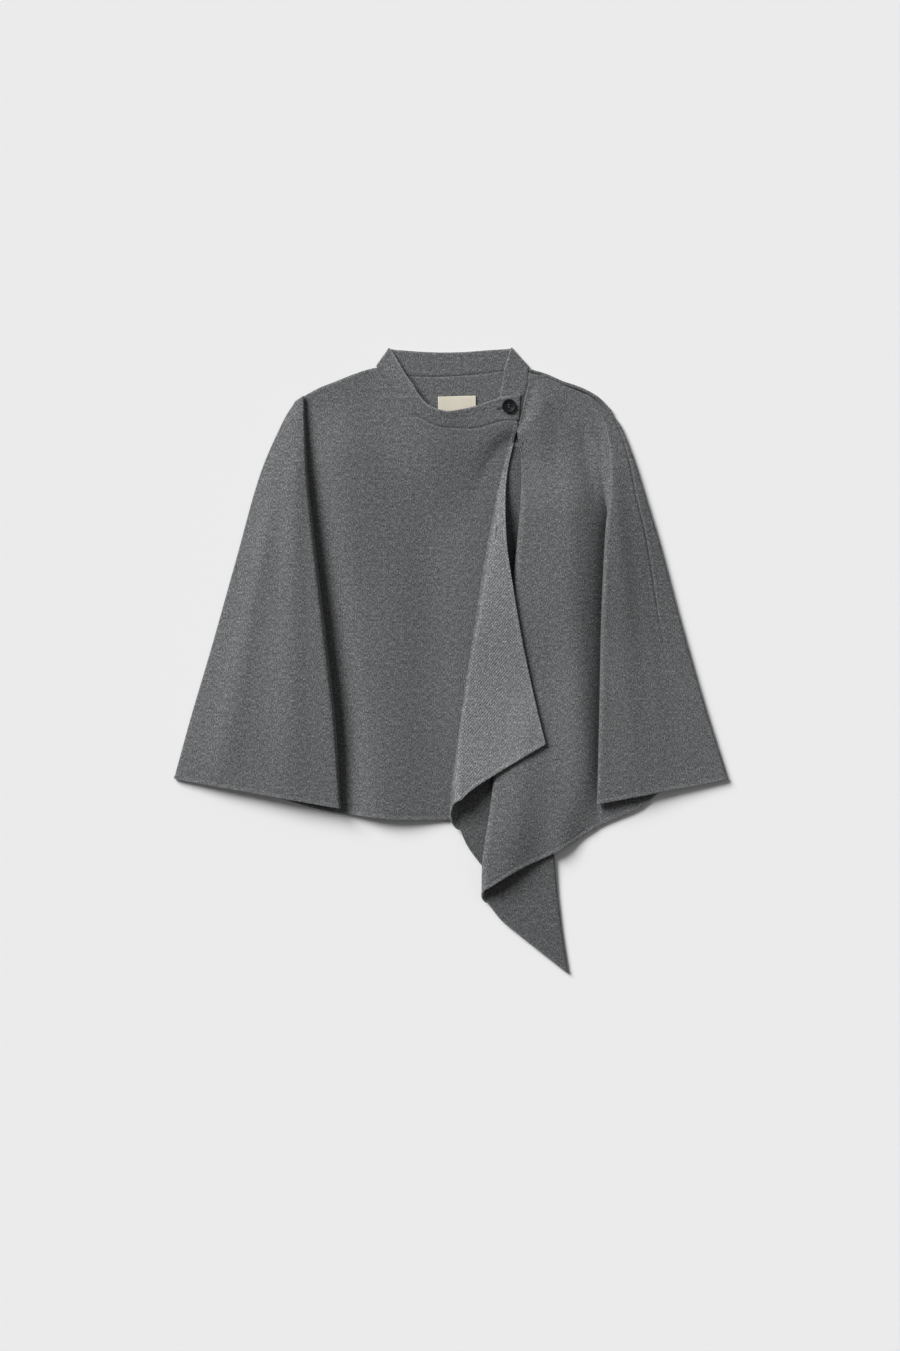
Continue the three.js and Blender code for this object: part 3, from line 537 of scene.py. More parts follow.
def back_panel_net():
    count = 30
    side_right = (right["edge"] - right["outwards"] * column(right["seam"] + SEAM_GAP))[:, :2]
    left_column = np.concatenate([along(right_shoulder + [tuple(side_right[0])], even(count))[:-1],
                                  side_right])
    wing = np.maximum(np.arange(len(left_column)) - count + 1, 0)
    rim = left["rim"][wing]
    shoulder_share = np.minimum(np.arange(len(left_column)) / (count - 1), 1)
    shoulder_point, shoulder_out = on_left_shoulder(shoulder_share, rim)
    on_wing = column(np.arange(len(left_column)) >= count)
    right_column = np.where(on_wing, (left["edge"] - left["outwards"] * column(left["rim"]))[wing, :2],
                            shoulder_point)
    across = close_to_ends(74, first=True)
    neck = along(back_neck[:-1] + [(113.4, 421.3)], across)
    right_column[0] = neck[-1]
    run = np.append(0, np.cumsum(np.linalg.norm(np.diff(left_column, axis=0), axis=1)))
    hem = along([tuple(left_column[-1]), (-220, -204), (-74, -221), (0, -223), (110, -219), (216, -203),
                 (300, -190), tuple(right_column[-1])], across)
    main = with_height(net(neck, hem, left_column, right_column, across, run / run[-1]), BACK_LEVEL)
    blend = column(ease((np.arange(len(left_column)) + 1 - count) / 14))
    outwards = mix(shoulder_out, left["outwards"][wing], blend)
    outwards[:8] = mix(np.array([[0.95, 0.3, 0]]), outwards[:8], column(even(8)))
    outwards /= np.linalg.norm(outwards, axis=1, keepdims=True)
    low = main[:, -1]
    high = low.copy()
    high[:, 2] += 2 * rim
    turned = bend(low, high, outwards, rim, 9)
    shares = close_to_ends(16, last=True)[1:]
    inwards = -shoulder_out.copy()
    inwards[:8] = mix(np.array([[0.1, -1, 0]]), inwards[:8], column(even(8)))
    on_shoulder = (high[:, None] + inwards[:, None]
                   * (shares[None] * column(SHOULDER_SEAM_INSET - rim))[..., None])
    seam = seam_share(left, 0)[wing]
    on_wing_rows = {"crest": left["crest"][wing], "end": left["end"][wing], "belly": left["belly"]}
    top = wing_top(on_wing_rows, mix(1, column(seam), shares[None]))
    top = np.where(on_wing[:, None] > 0, top, on_shoulder)
    return np.concatenate([main, turned, high[:, None], top], axis=1)


def side_seam_shows(grid):
    """The side seam on the wing shows at the top and is pressed flat towards the hem."""
    return 0.03 + 0.97 * ease((grid[:, -1, 1] + 40) / 180)


back_grid = back_panel_net()
back = cloth_shell("back_panel_cloth", back_grid, {
    "top": ("seam", 1), "bottom": ("hem", 1), "left": ("seam", 1),
    "right": ("seam", side_seam_shows(back_grid))})
finish_panel(back, "back_panel")

# ---- Right front ----
# The wearer's right front with its wing. A deep pleat hides under the wing's front fold, the outer
# edge turns under to the side seam, and the front edge runs down beneath the drape.
right_neck = [(-107, 425), (-100, 415), (-84, 393.5), (-70, 374), (-46, 352), (-19, 339), (6, 336.5),
              (32, 336), (50, 340), (78, 347.5), (94.5, 347)]
UNDERLAP_LEVEL = 8.2
TAB_LEVEL = 10.8
COLLAR_TURN = 1.8
FIRST_ROW = 0.008
right_neck_heights = table_of("down z", (0, 4.2), (0.2, 8), (0.5, 14), (0.72, 11.4), (0.85, TAB_LEVEL),
                              (1, TAB_LEVEL - 0.4))


def right_front_net():
    across = close_to_ends(112, last=True)
    shoulder = [tuple(right["valley"][0])] + [p for p in reversed(right_shoulder)]
    top = one_after_another(across, (5, shoulder), (12, right_neck))
    front_edge = along([(94.5, 347), (96.4, 343.5), (95.6, 334), (92.8, 324), (87.5, 306), (84, 285),
                        (84, 200), (84, -40), (78, -229)], downs)
    hem = along([tuple(right["valley"][-1]), (-203, -213), (-165, -221), (-132, -225), (-74, -231), (0, -231),
                 (78, -229)], across)
    plan = net(top, hem, right["valley"], front_edge, across, downs)
    share = (across * 17 - 5) / 12
    neck_z = np.where(share > 0, from_table(right_neck_heights, "z", np.clip(share, 0, 1)),
                      mix(FRONT_LEVEL, 4.2, across * 17 / 5))
    reach = mix(0.3, 0.05, ease((share - 0.5) / 0.5) ** 1.5)
    rise = (neck_z - FRONT_LEVEL)[None] * (1 - ease((column(downs) - FIRST_ROW) / reach[None]))
    body = with_height(plan, FRONT_LEVEL + rise)
    under = right["end"].copy()
    under[:, 2] = BACK_LEVEL
    seam = under + right["outwards"] * column(right["rim"] - right["seam"])
    strip = mix(seam[:, None], under[:, None], even(9)[None, :, None])
    turned = bend(under, right["end"], right["outwards"], right["rim"], 8)
    top_strip = wing_top(right, even(46)[::-1])
    return np.concatenate([strip, turned, top_strip, right["points"][:, -2::-1], body[:, 1:]], axis=1)


NECK_CENTRE_Y, NECK_RADIUS, NECK_FADE = 400, 105, 60
RIGHT_HUMP, RIGHT_HUMP_WIDTH = 11, 58


def front_lift(x, y):
    """The soft folds, which fade out towards the neck and the shoulders."""
    neck = ease((np.hypot(x + 6, (y - NECK_CENTRE_Y) * 1.05) - NECK_RADIUS) / NECK_FADE)
    shoulder = ease((414 - 0.0016 * (x - 10) ** 2 - y) / 50)
    return soft_lift(x, y) * neck * shoulder


def right_lift(x, y):
    """The body also stands up beside the wing and sinks steeply into the pleat."""
    edge = across_at(y, right["edge"][:, 0], right["edge"][:, 1])
    fold = across_at(y, right_wing["foldX"], right_wing["foldY"])
    beside = x - fold
    from_neck = ease((np.hypot(x, y - NECK_CENTRE_Y) - NECK_RADIUS) / NECK_FADE)
    hump = RIGHT_HUMP * ease(beside / RIGHT_HUMP_WIDTH) * ease((170 - beside) / 110) * from_neck
    hump = hump * ease((385 - y) / 90)
    return front_lift(x, y) * ease((x - edge - 4) / 45) + hump


right_front = cloth_shell("right_front_cloth", right_front_net(), {
    "top": ("seam", 1), "bottom": ("hem", 1), "left": ("seam", 1), "right": ("hem", 1)}, right_lift)
finish_panel(right_front, "right_front")

# ---- Left front and drape ----
# The wearer's left front. From its body the cloth turns under, back, and over again into the flap on
# top, so that one long corner hangs below the hem as a tail. The hem and front edge are turned once.
drape = table_of(
    "down freeX freeY flapX flapY hiddenX hiddenY bodyX bodyY",
    (0, 91.5, 317, 86.5, 311, 110.2, 306, 102.5, 318),
    (0.1, 83, 279.5, 72.8, 265, 114.2, 243, 102.6, 255),
    (0.2, 78.8, 235, 61.5, 210, 118, 165, 98.5, 194),
    (0.35, 80.8, 168, 46.8, 127.5, 125, 49.5, 88.7, 94),
    (0.5, 90.3, 101.5, 34.2, 45, 133.2, -66.5, 78.6, -6.5),
    (0.65, 101.6, 35, 21.8, -37.5, 142.8, -182.5, 68.5, -107),
    (0.8, 115.6, -32, 10.2, -120, 150, -298, 58.5, -207),
    (0.92, 128, -85.5, 1.6, -185, 159.8, -391, 46.5, -287),
    (1, 137, -121, -0.5, -224, 169.5, -453, 45, -341),
)
TIGHT_FOLD = 1.6
HEM_ROLL, FLAP_HEM_ROLL = 6, 8
LEFT_HUMP, LEFT_HUMP_WIDTH = 19.5, 66
DRAPE_TOP = 322
left_neck = [(98.6, 345.5), (100.6, 354), (103.3, 364), (105.5, 377), (109.5, 392), (112, 405),
             (112.6, 418.2)]


def lowest_drape(y):
    return mix(BACK_LEVEL, DRAPE_LEVEL, ease((y + 345) / 105))


def body_roll(y):
    puffed = 5 * ease((300 - y) / 90) * ease((y + 60) / 160)
    return TIGHT_FOLD + 0.9 * ease((250 - y) / 150) + HEM_ROLL * ease((-120 - y) / 150) + puffed


def body_over_drape(x, y):
    """The height of the body over the drape: a roll at its fold, which sinks away from it."""
    beside = x - across_at(y, drape["bodyX"], drape["bodyY"])
    roll = mix(body_roll(y), TIGHT_FOLD + 0.9, ease((beside - 18) / 75) * ease((40 - y) / 160))
    return lowest_drape(y) + 2 * TIGHT_FOLD + 2 * roll


def past_drape(x, y):
    """How far a place on the body is past the hidden fold: 0 over the drape and 1 beside it."""
    low_down = ease((-150 - y) / 110)
    return ease((x - (110 + 0.075 * (320 - y)) - mix(8, 1, low_down)) / mix(60, 42, low_down))


def body_height(x, y):
    beside = mix(BACK_LEVEL, FRONT_LEVEL, ease((y + 300) / 70))
    return mix(body_over_drape(x, y), beside, past_drape(x, y))


def flap_height(x, y, across):
    close = lowest_drape(y) + 2 * TIGHT_FOLD
    roll = FLAP_HEM_ROLL * ease((-90 - y) / 100) * (1 - across) ** 2
    over = body_over_drape(x, y) + CLOTH + LAYER_GAP + 3.5 * across + roll
    return mix(close, over, ease((290 - y) / 120))


def left_front_net():
    free, flap, hidden, body_fold = (np.stack([from_table(drape, name + "X", downs),
                                               from_table(drape, name + "Y", downs)], axis=-1)
                                     for name in ("free", "flap", "hidden", "body"))
    slant = 22 * downs ** 3
    radius = (flap_height(flap[:, 0], flap[:, 1], 0) - lowest_drape(flap[:, 1])) / 2
    flap_upper = np.stack([flap[:, 0] + radius, flap[:, 1] + slant], axis=-1)
    flap_lower = np.stack([flap_upper[:, 0], flap[:, 1] - slant], axis=-1)
    body_upper = np.stack([body_fold[:, 0] + body_roll(body_fold[:, 1]), body_fold[:, 1] + slant / 2],
                          axis=-1)
    body_lower = np.stack([body_upper[:, 0], body_fold[:, 1] - slant / 2], axis=-1)
    hidden_in = hidden - [TIGHT_FOLD, 0]

    u = close_to_ends(30, last=True)
    plan = net(along([flap_upper[0], free[0]], u),
               along([flap_upper[-1], (30, -187), (67, -163), free[-1]], u), flap_upper, free, u, downs)
    flap_net = with_height(plan, flap_height(plan[..., 0], plan[..., 1], u[None]))

    u = even(26)
    plan = net(along([flap_lower[0], hidden_in[0]], u),
               along([flap_lower[-1], (23, -268), (44, -297), hidden_in[-1]], u),
               flap_lower, hidden_in, u, downs)
    low_net = with_height(plan, lowest_drape(plan[..., 1]))

    u = even(22)
    plan = net(along([body_lower[0], hidden_in[0]], u),
               along([body_lower[-1], (71, -375), (100, -399.5), (129, -422.5), hidden_in[-1]], u),
               body_lower, hidden_in, u, downs)
    under_net = with_height(plan, lowest_drape(plan[..., 1]) + 2 * TIGHT_FOLD)

    across = even(86)
    inset = SHOULDER_SEAM_INSET + SEAM_GAP
    inner_shoulder = on_left_shoulder([0.2, 0.4], inset)[0]
    shoulder = [left_neck[-1], *map(tuple, inner_shoulder), tuple(left["valley"][0])]
    beside_slit = [tuple(body_upper[0]), (98, 325), (95.4, 333), (96.4, 341), left_neck[0]]
    top = one_after_another(across, (2, beside_slit), (7, left_neck), (5, shoulder))
    hem = along([body_upper[-1], (100, -302), (158, -275), (216, -240), (275.5, -212.5), left["valley"][-1]],
                across)
    plan = net(top, hem, body_upper, left["valley"], across, downs, 8)
    place = across * 14
    share = np.clip((place - 2) / 7, 0, 1)
    neck_top = BACK_LEVEL + 2 * COLLAR_TURN
    neck_z = np.where(place > 9, mix(neck_top, FRONT_LEVEL, (place - 9) / 5),
                      mix(UNDERLAP_LEVEL, neck_top, share))
    held = 1 - ease((column(downs) - FIRST_ROW) / mix(0.027, 0.045, ease(share))[None])
    held = held * ease((plan[..., 1] - DRAPE_TOP) / 22)
    body_net = with_height(plan, mix(body_height(plan[..., 0], plan[..., 1]), neck_z[None], held))

    inwards = np.array([-1.0, 0, 0])
    flap_bend = bend(flap_net[:, 0], low_net[:, 0], inwards, flap_upper[:, 0] - flap[:, 0], 12)
    hidden_bend = bend(low_net[:, -1], under_net[:, -1], -inwards, np.full(len(downs), TIGHT_FOLD), 7)
    body_bend = bend(under_net[:, 0], body_net[:, 0], inwards, body_upper[:, 0] - body_fold[:, 0], 10)
    seam = seam_share(left, mix(3 * SEAM_GAP, SEAM_GAP, ease((downs - 0.02) / 0.02)))
    wing = wing_top(left, close_to_ends(36, last=True)[None, 1:] * column(seam))
    return np.concatenate([flap_net[:, ::-1], flap_bend, low_net, hidden_bend, under_net[:, ::-1], body_bend,
                           body_net, left["points"][:, 1:], wing], axis=1)


def left_lift(x, y):
    """The body also stands up beside the wing and rolls down into the pleat. The folds end at the side
    seam.
    """
    side_seam = across_at(y, left["edge"][:, 0] - left["seam"], left["edge"][:, 1])
    fold = across_at(y, left_wing["foldX"], left_wing["foldY"])
    beside = np.clip((fold - x) / LEFT_HUMP_WIDTH, 0, 1)
    hump = LEFT_HUMP * (1 - (1 - beside) ** 3) * past_drape(x, y)
    hump = hump * ease((330 - y) / 120) * ease((y + 285) / 150)
    return front_lift(x, y) * ease((side_seam - x - 1) / 45) + hump


left_grid = left_front_net()
# The wrong side shows on the 30 columns of the flap and the start of its roll, paler by its own tone and
# by painted light where the flap faces the lamp. The layers folded under the body, as far as its fold,
# get painted shade for the shadow of the body over them.
left_wrong_side_and_painted_light = np.zeros(left_grid.shape[:2])
left_wrong_side_and_painted_light[:, :32] = 1
left_wrong_side_and_painted_light[:, 40:96] = -0.45
left_front = cloth_shell("left_front_cloth", left_grid, {
    "top": ("seam", 1), "bottom": ("hem", 1), "left": ("hem", 1),
    "right": ("seam", side_seam_shows(left_grid))}, left_lift, left_wrong_side_and_painted_light)
finish_panel(left_front, "left_front")

# ---- Stand collar ----
# One band of wool round the neck. It ends in the buttoned tab at the front and in the underlap
# beneath it, and its free edge is turned like the hem.
band_top = [(-88, 452), (-82.5, 443.5), (-74.5, 429.5), (-65.5, 414), (-55, 399), (-47, 385.5), (-34, 370.5),
            (-19.5, 364), (-5, 361), (16, 364), (35.5, 368.5), (55, 375.5), (72.5, 381), (93.5, 385)]
collar_back_top = [(-88, 452), (-74, 450.5), (-30, 447.5), (13, 447.5), (56, 450.5), (86, 452.5)]
underlap_top = [(67, 366), (71.5, 388), (74.5, 404), (77.5, 424), (82.5, 441), (86, 452.5)]
band_top_heights = table_of("down z", (0, 4.7), (0.25, 15), (0.5, 17), (0.72, 12), (0.85, TAB_LEVEL),
                            (1, TAB_LEVEL - 0.4))
BUTTON_X, BUTTON_Y = 83.8, 368.3


def collar_net():
    shares = close_to_ends(20, first=True, last=True)

    def band(neck, top, neck_z, top_z, gap):
        start = with_height(neck[None], neck_z)[0]
        end = with_height(top[None], top_z)[0]
        ahead = end - start
        start = start + ahead / np.linalg.norm(ahead, axis=1, keepdims=True) * column(gap)
        return mix(end[:, None], start[:, None], shares[None, :, None])

    u = even(90)
    front = band(along(right_neck, u), along(band_top, u), from_table(right_neck_heights, "z", u),
                 from_table(band_top_heights, "z", u), SEAM_GAP + 0 * u)
    tab_low = TAB_LEVEL - 1.1
    tab_end = band(np.array([[98.4, 347.6]]), np.array([[101, 385.8]]), tab_low, tab_low,
                   np.array([SEAM_GAP]))
    tab = mix(tab_end, front[-1:], even(7)[:-1, None, None])
    v = even(60)
    back_band = band(along(back_neck, v), along(collar_back_top, v), BACK_LEVEL, BACK_LEVEL, SEAM_GAP + 0 * v)
    w = even(34)
    z = mix(UNDERLAP_LEVEL, BACK_LEVEL + 2 * COLLAR_TURN, np.minimum(w * 8 / 7, 1))
    under = band(one_after_another(w, (7, left_neck), (1, [left_neck[-1], (112.5, 423)])),
                 along(underlap_top, w), z, z, mix(3 * SEAM_GAP, SEAM_GAP, np.minimum(w * 8 / 7, 1)))
    right_corner = bend(front[0], back_band[0], np.array([-0.8, 0.6, 0]), np.full(20, COLLAR_TURN), 9)
    left_corner = bend(back_band[-1], under[-1], np.array([0.8, 0.6, 0]), np.full(20, COLLAR_TURN), 9)
    return np.concatenate([tab, front[::-1], right_corner.transpose(1, 0, 2), back_band,
                           left_corner.transpose(1, 0, 2), under[::-1]]).transpose(1, 0, 2)[:, ::-1]


collar = cloth_shell("stand_collar_cloth", collar_net(), {
    "top": ("hem", 0.5), "bottom": ("seam", 1), "left": ("hem", 0.5), "right": ("thin", 0.7)})

# buttonhole: a slit along the tab, cut once the band is made
BUTTONHOLE_ANGLE = 0.26
BUTTONHOLE_FROM, BUTTONHOLE_TO = -18.0, 4.0
BUTTONHOLE_WIDTH = 0.5


def cut(piece, cutter):
    """Takes one closed form out of another for good."""
    modifier = piece.modifiers.new("cut", "BOOLEAN")
    modifier.object = cutter
    modifier.solver = "EXACT"
    bpy.context.view_layer.update()
    result = piece.evaluated_get(bpy.context.evaluated_depsgraph_get())
    piece.data = bpy.data.meshes.new_from_object(result)
    piece.modifiers.clear()
    bpy.data.objects.remove(cutter)


def turned_form(name, profile, centre, sides, material):
    """A closed form turned round an upright axis, from (radius, height) pairs that start and end on it."""
    angle = 2 * np.pi * np.arange(sides) / sides
    rings = np.array([[(centre[0] + r * math.cos(a), centre[1] + r * math.sin(a), z) for a in angle]
                      for r, z in profile[1:-1]])
    points = np.vstack([[(*centre, profile[0][1])], rings.reshape(-1, 3), [(*centre, profile[-1][1])]])
    here, after = np.arange(sides), (np.arange(sides) + 1) % sides
    faces = [(0, 1 + b, 1 + a) for a, b in zip(here, after)]
    for k in range(len(rings) - 1):
        low, high = 1 + k * sides, 1 + (k + 1) * sides
        faces += [(low + a, low + b, high + b, high + a) for a, b in zip(here, after)]
    last, top = 1 + (len(rings) - 1) * sides, len(points) - 1
    faces += [(last + a, last + b, top) for a, b in zip(here, after)]
    piece = new_object(name, points * 0.001, faces, material)
    piece.data.shade_smooth()
    return piece


def beside_button(along_slit, across_slit):
    """Places round the button, measured along the buttonhole and across it."""
    c, n = math.cos(BUTTONHOLE_ANGLE), math.sin(BUTTONHOLE_ANGLE)
    return (BUTTON_X + along_slit * c - across_slit * n, BUTTON_Y + along_slit * n + across_slit * c)


slit_outline = [(BUTTONHOLE_FROM, -BUTTONHOLE_WIDTH / 2), (BUTTONHOLE_TO, -BUTTONHOLE_WIDTH / 2),
                (BUTTONHOLE_TO, BUTTONHOLE_WIDTH / 2), (BUTTONHOLE_FROM, BUTTONHOLE_WIDTH / 2)]
slit_points = [(*beside_button(u, v), z) for z in (UNDERLAP_LEVEL + 1.6, TAB_LEVEL + 4)
               for u, v in slit_outline]
slit_faces = [(3, 2, 1, 0), (4, 5, 6, 7)] + [(k, (k + 1) % 4, (k + 1) % 4 + 4, k + 4) for k in range(4)]
cut(collar, new_object("slit", np.array(slit_points) * 0.001, slit_faces, wool))
finish_panel(collar, "stand_collar")


def thread_surface(tree):
    """Dark twisted thread, a little paler where the strands catch the light."""
    place = add_node(tree, "ShaderNodeTexCoord").outputs["Object"]
    twist = add_node(tree, "ShaderNodeTexWave", {"Vector": place, "Scale": 420.0, "Distortion": 1.5},
                     bands_direction="DIAGONAL")
    colour = add_node(tree, "ShaderNodeMix", {"Factor": twist.outputs["Fac"], 6: linear("#3b3c3d"),
                                              7: linear("#606163")}, data_type="RGBA")
    return {"Base Color": colour.outputs[2], "Roughness": 0.7, "Specular IOR Level": 0.25}


# twisted polyester sewing thread, dark grey like the cloth
thread = new_material("dark_grey_sewing_thread", thread_surface)


def stitch_rows():
    """Geometry Nodes that lay stitches across a line, with named inputs for their sizes."""
    tree = bpy.data.node_groups.new("stitches_across_a_line", "GeometryNodeTree")
    tree.interface.new_socket("Geometry", in_out="OUTPUT", socket_type="NodeSocketGeometry")
    tree.interface.new_socket("Geometry", in_out="INPUT", socket_type="NodeSocketGeometry")
    for name in ("Spacing", "Length", "Width"):
        tree.interface.new_socket(name, in_out="INPUT", socket_type="NodeSocketFloat")
    given = add_node(tree, "NodeGroupInput")
    line = add_node(tree, "GeometryNodeMeshToCurve", {0: given.outputs["Geometry"]})
    spots = add_node(tree, "GeometryNodeCurveToPoints", {0: line.outputs[0],
                                                         "Length": given.outputs["Spacing"]}, mode="LENGTH")
    across = add_node(tree, "ShaderNodeVectorMath", {0: spots.outputs["Tangent"], 1: (0, 0, 1)},
                      operation="CROSS_PRODUCT")
    turn = add_node(tree, "FunctionNodeAlignRotationToVector", {"Vector": across.outputs[0]}, axis="Y")
    size = add_node(tree, "ShaderNodeCombineXYZ", {0: given.outputs["Width"], 1: given.outputs["Length"],
                                                   2: given.outputs["Width"]})
    uneven = add_node(tree, "FunctionNodeRandomValue", {2: 0.85, 3: 1.2, 8: 5}, data_type="FLOAT")
    scale = add_node(tree, "ShaderNodeVectorMath", {0: size.outputs[0], 3: uneven.outputs[1]},
                     operation="SCALE")
    strand = add_node(tree, "GeometryNodeMeshUVSphere", {"Segments": 8, "Rings": 6, "Radius": 0.5})
    laid = add_node(tree, "GeometryNodeInstanceOnPoints", {
        "Points": spots.outputs["Points"], "Instance": strand.outputs["Mesh"], "Rotation": turn.outputs[0],
        "Scale": scale.outputs[0]})
    real = add_node(tree, "GeometryNodeRealizeInstances", {0: laid.outputs[0]})
    dressed = add_node(tree, "GeometryNodeSetMaterial", {"Geometry": real.outputs[0], "Material": thread})
    add_node(tree, "NodeGroupOutput", {0: dressed.outputs[0]})
    return tree


def sew(name, line, spacing, length, width):
    """A row of stitches across a line of points in millimetres, as a plain mesh."""
    mesh = bpy.data.meshes.new(name)
    mesh.from_pydata([tuple(0.001 * np.array(p)) for p in line],
                     [(k, k + 1) for k in range(len(line) - 1)], [])
    piece = bpy.data.objects.new(name, mesh)
    bpy.context.scene.collection.objects.link(piece)
    modifier = piece.modifiers.new("stitches", "NODES")
    modifier.node_group = stitch_rows()
    sizes = {"Spacing": spacing, "Length": length, "Width": width}
    for item in modifier.node_group.interface.items_tree:
        if item.name in sizes:
            modifier[item.identifier] = 0.001 * sizes[item.name]
    bpy.context.view_layer.update()
    result = piece.evaluated_get(bpy.context.evaluated_depsgraph_get())
    piece.data = bpy.data.meshes.new_from_object(result)
    piece.modifiers.clear()
    piece.data.shade_smooth()
    return piece


def on_top_of(piece, place, above):
    """The point straight over a place, so far above the top of a piece."""
    hit, point = piece.ray_cast((place[0] * 0.001, place[1] * 0.001, 0.1), (0, 0, -1))[:2]
    return (*place, (point.z * 1000 if hit else TAB_LEVEL) + above)


bpy.context.view_layer.update()
edge_of_slit = BUTTONHOLE_WIDTH / 2 + 0.7
round_slit = [(BUTTONHOLE_FROM + k, edge_of_slit) for k in range(16)][::-1]
round_slit += [(BUTTONHOLE_FROM - edge_of_slit * math.sin(a), edge_of_slit * math.cos(a))
               for a in np.pi * even(9)[1:-1]]
round_slit += [(BUTTONHOLE_FROM + k, -edge_of_slit) for k in range(16)]
stitch_line = [on_top_of(collar, beside_button(*p), 0.1) for p in round_slit]
buttonhole_stitches = sew("buttonhole_stitches", stitch_line, spacing=0.9, length=1.7, width=0.75)
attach(buttonhole_stitches, "root")

# ---- Neck label ----
# A blank cream tape, woven of fine cotton and sewn inside the back of the neck under the collar band.
LABEL_X, LABEL_Y, LABEL_TURN = 9.0, 363.5, 0.026
LABEL_WIDTH, LABEL_LENGTH, LABEL_THICKNESS = 55.0, 40.0, 0.5


def tape_surface(tree):
    """Cream yarns with a slightly darker line between the warp ends."""
    cloth = add_node(tree, "ShaderNodeUVMap", uv_map="cloth").outputs["UV"]
    warp = add_node(tree, "ShaderNodeTexWave", {"Vector": cloth, "Scale": 240.0, "Distortion": 0.6})
    slub = add_node(tree, "ShaderNodeTexNoise", {"Vector": cloth, "Scale": 300.0, "Detail": 3.0})
    yarn = add_node(tree, "ShaderNodeMath", {0: warp.outputs["Fac"], 1: 0.5, 2: slub.outputs["Fac"]},
                    operation="MULTIPLY_ADD")
    colour = add_node(tree, "ShaderNodeMix", {"Factor": yarn.outputs[0], 6: linear("#c6bfad"),
                                              7: linear("#dad4c3")}, data_type="RGBA")
    return {"Base Color": colour.outputs[2], "Roughness": 0.6, "Specular IOR Level": 0.3,
            "Sheen Weight": 0.15}


def tape_bump(tree):
    cloth = add_node(tree, "ShaderNodeUVMap", uv_map="cloth").outputs["UV"]
    warp = add_node(tree, "ShaderNodeTexWave", {"Vector": cloth, "Scale": 240.0})
    weft = add_node(tree, "ShaderNodeTexWave", {"Vector": cloth, "Scale": 300.0}, bands_direction="Y")
    weave = add_node(tree, "ShaderNodeMath", {0: warp.outputs["Fac"], 1: weft.outputs["Fac"]},
                     operation="MULTIPLY")
    return add_node(tree, "ShaderNodeBump", {"Height": weave.outputs[0], "Strength": 0.4,
                                             "Distance": 0.0004}).outputs[0]


# satin-woven cotton tape, cream and unprinted
tape = new_material("cream_cotton_tape", tape_surface, tape_bump)


def label_net():
    """The tape lies on the back panel, and its free edge stands up a little towards one corner."""
    x, y = np.meshgrid((even(56) - 0.5) * LABEL_WIDTH, (0.5 - even(41)) * LABEL_LENGTH)
    c, n = math.cos(LABEL_TURN), math.sin(LABEL_TURN)
    corner = ease((x + y) / 40) * 1.4 + 0.15 * (1 + np.sin(x / 5.5))
    z = CLOTH + LAYER_GAP + LABEL_THICKNESS / 2 + corner
    return np.stack([LABEL_X + x * c - y * n, LABEL_Y + x * n + y * c, z], axis=-1)


label = cloth_shell("neck_label_tape", label_net(), {"top": ("thin", 0.2)}, material=tape,
                    cloth=LABEL_THICKNESS)
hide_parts("neck_label")
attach(label, "root")

# ---- Button ----
# A four-hole coat button turned from black resin, with a rounded rim round a shallow well. It is sewn
# on through its holes and stands off the tab on a shank of thread.
BUTTON_LOW, BUTTON_TOP, BUTTON_RADIUS = 13.1, 16.1, 10.3
WELL = BUTTON_TOP - 1.0
HOLE_PITCH, HOLE_RADIUS = 3.4, 0.95


def resin_surface(tree):
    """Black resin, a little duller where it has been handled."""
    place = add_node(tree, "ShaderNodeTexCoord").outputs["Object"]
    cloud = add_node(tree, "ShaderNodeTexNoise", {"Vector": place, "Scale": 260.0, "Detail": 3.0})
    colour = add_node(tree, "ShaderNodeMix", {"Factor": cloud.outputs["Fac"], 6: linear("#0d0d0f"),
                                              7: linear("#1a1a1d")}, data_type="RGBA")
    rough = add_node(tree, "ShaderNodeMapRange", {"Value": cloud.outputs["Fac"], "To Min": 0.42,
                                                  "To Max": 0.62})
    return {"Base Color": colour.outputs[2], "Roughness": rough.outputs[0], "Specular IOR Level": 0.2}


# cast polyester resin, half polished
resin = new_material("black_button_resin", resin_surface)
rim_profile = [(0, BUTTON_LOW), (5, BUTTON_LOW), (8.4, BUTTON_LOW), (9.3, BUTTON_LOW + 0.3),
               (9.95, BUTTON_LOW + 0.9), (BUTTON_RADIUS, BUTTON_LOW + 1.6), (10.15, BUTTON_TOP - 0.75),
               (9.7, BUTTON_TOP - 0.25), (9.1, BUTTON_TOP), (8.5, BUTTON_TOP - 0.08), (7.9, BUTTON_TOP - 0.4),
               (7.2, WELL + 0.2), (6.4, WELL), (3, WELL), (0, WELL)]
button = turned_form("four_hole_button", rim_profile, (BUTTON_X, BUTTON_Y), 64, resin)
hole_places = [(BUTTON_X + x, BUTTON_Y + y) for x in (-HOLE_PITCH / 2, HOLE_PITCH / 2)
               for y in (-HOLE_PITCH / 2, HOLE_PITCH / 2)]
for hole in hole_places:
    cut(button, turned_form("hole", [(0, BUTTON_LOW - 1), (HOLE_RADIUS, BUTTON_LOW - 1),
                                     (HOLE_RADIUS, BUTTON_TOP + 1), (0, BUTTON_TOP + 1)], hole, 20, resin))
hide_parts("button")
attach(button, "root")

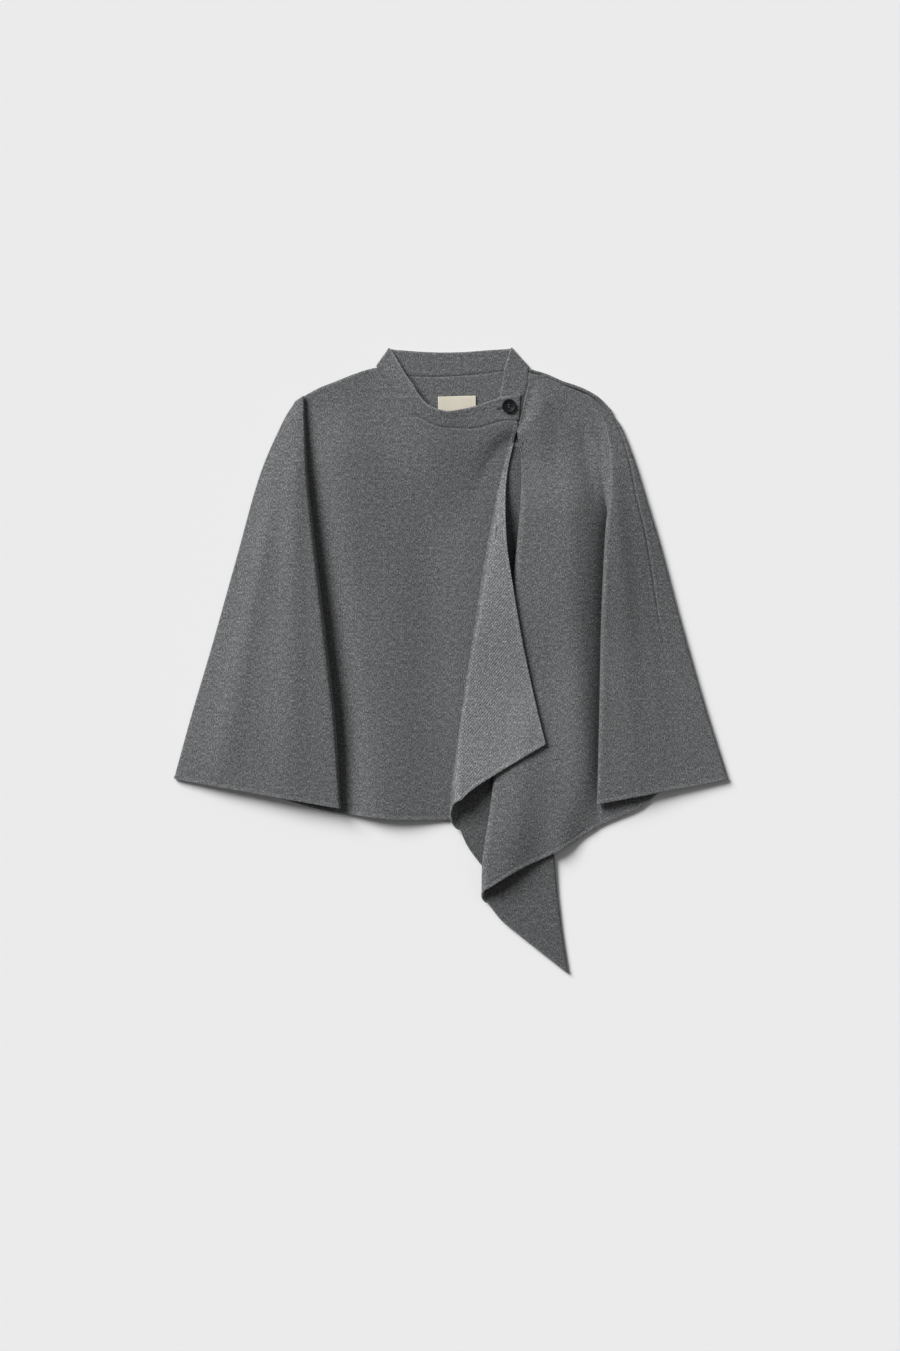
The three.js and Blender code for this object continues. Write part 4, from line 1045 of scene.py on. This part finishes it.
# ---- Button thread ----
# Strands of dark thread between the pairs of holes, wound below the button into the shank.
STRAND = 0.27


def tubes(name, paths, radius, material, sides=8):
    """Closed tubes along paths in millimetres, as one piece."""
    points, faces = [], []
    for path in paths:
        path = np.array(path, float)
        ahead = np.gradient(path, axis=0)
        ahead /= np.linalg.norm(ahead, axis=1, keepdims=True)
        side = np.cross(ahead, np.array([0.31, 0.87, 0.38]))
        side /= np.linalg.norm(side, axis=1, keepdims=True)
        angle = 2 * np.pi * np.arange(sides) / sides
        ring = (side[:, None] * np.cos(angle)[None, :, None]
                + np.cross(side, ahead)[:, None] * np.sin(angle)[None, :, None])
        first = len(points)
        points += list((path[:, None] + radius * ring).reshape(-1, 3))
        for k in range(len(path) - 1):
            low = first + k * sides
            faces += [(low + a, low + (a + 1) % sides, low + sides + (a + 1) % sides, low + sides + a)
                      for a in range(sides)]
        faces.append(tuple(range(first + sides - 1, first - 1, -1)))
        faces.append(tuple(range(len(points) - sides, len(points))))
    piece = new_object(name, np.array(points) * 0.001, faces, material)
    piece.data.shade_smooth()
    return piece


def strand_paths():
    """Three strands through each pair of holes, and the winding of the shank beneath the button."""
    half = HOLE_PITCH / 2
    paths = []
    for side in (-1, 1):
        for k in (-1, 0, 1):
            y = BUTTON_Y + side * half + 0.42 * k
            arch = [(-half, -1.6), (-half, -0.25), (-half + 0.35, 0.2), (0, 0.42), (half - 0.35, 0.2),
                    (half, -0.25), (half, -1.6)]
            paths.append([(BUTTON_X + x, y, WELL + z - 0.05 * abs(k)) for x, z in arch])
    turn = 2 * np.pi * 9 * even(109)
    low, high = UNDERLAP_LEVEL + CLOTH / 2 + LAYER_GAP + 0.3, BUTTON_LOW - 0.35
    radius = 0.95 + 1.3 * ease((even(109) - 0.8) / 0.2)
    paths.append(np.stack([BUTTON_X + radius * np.cos(turn), BUTTON_Y + radius * np.sin(turn),
                           mix(low, high, even(109))], axis=-1))
    return paths


strands = tubes("button_thread_strands", strand_paths(), STRAND, thread)
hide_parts("button_thread")
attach(strands, "root")
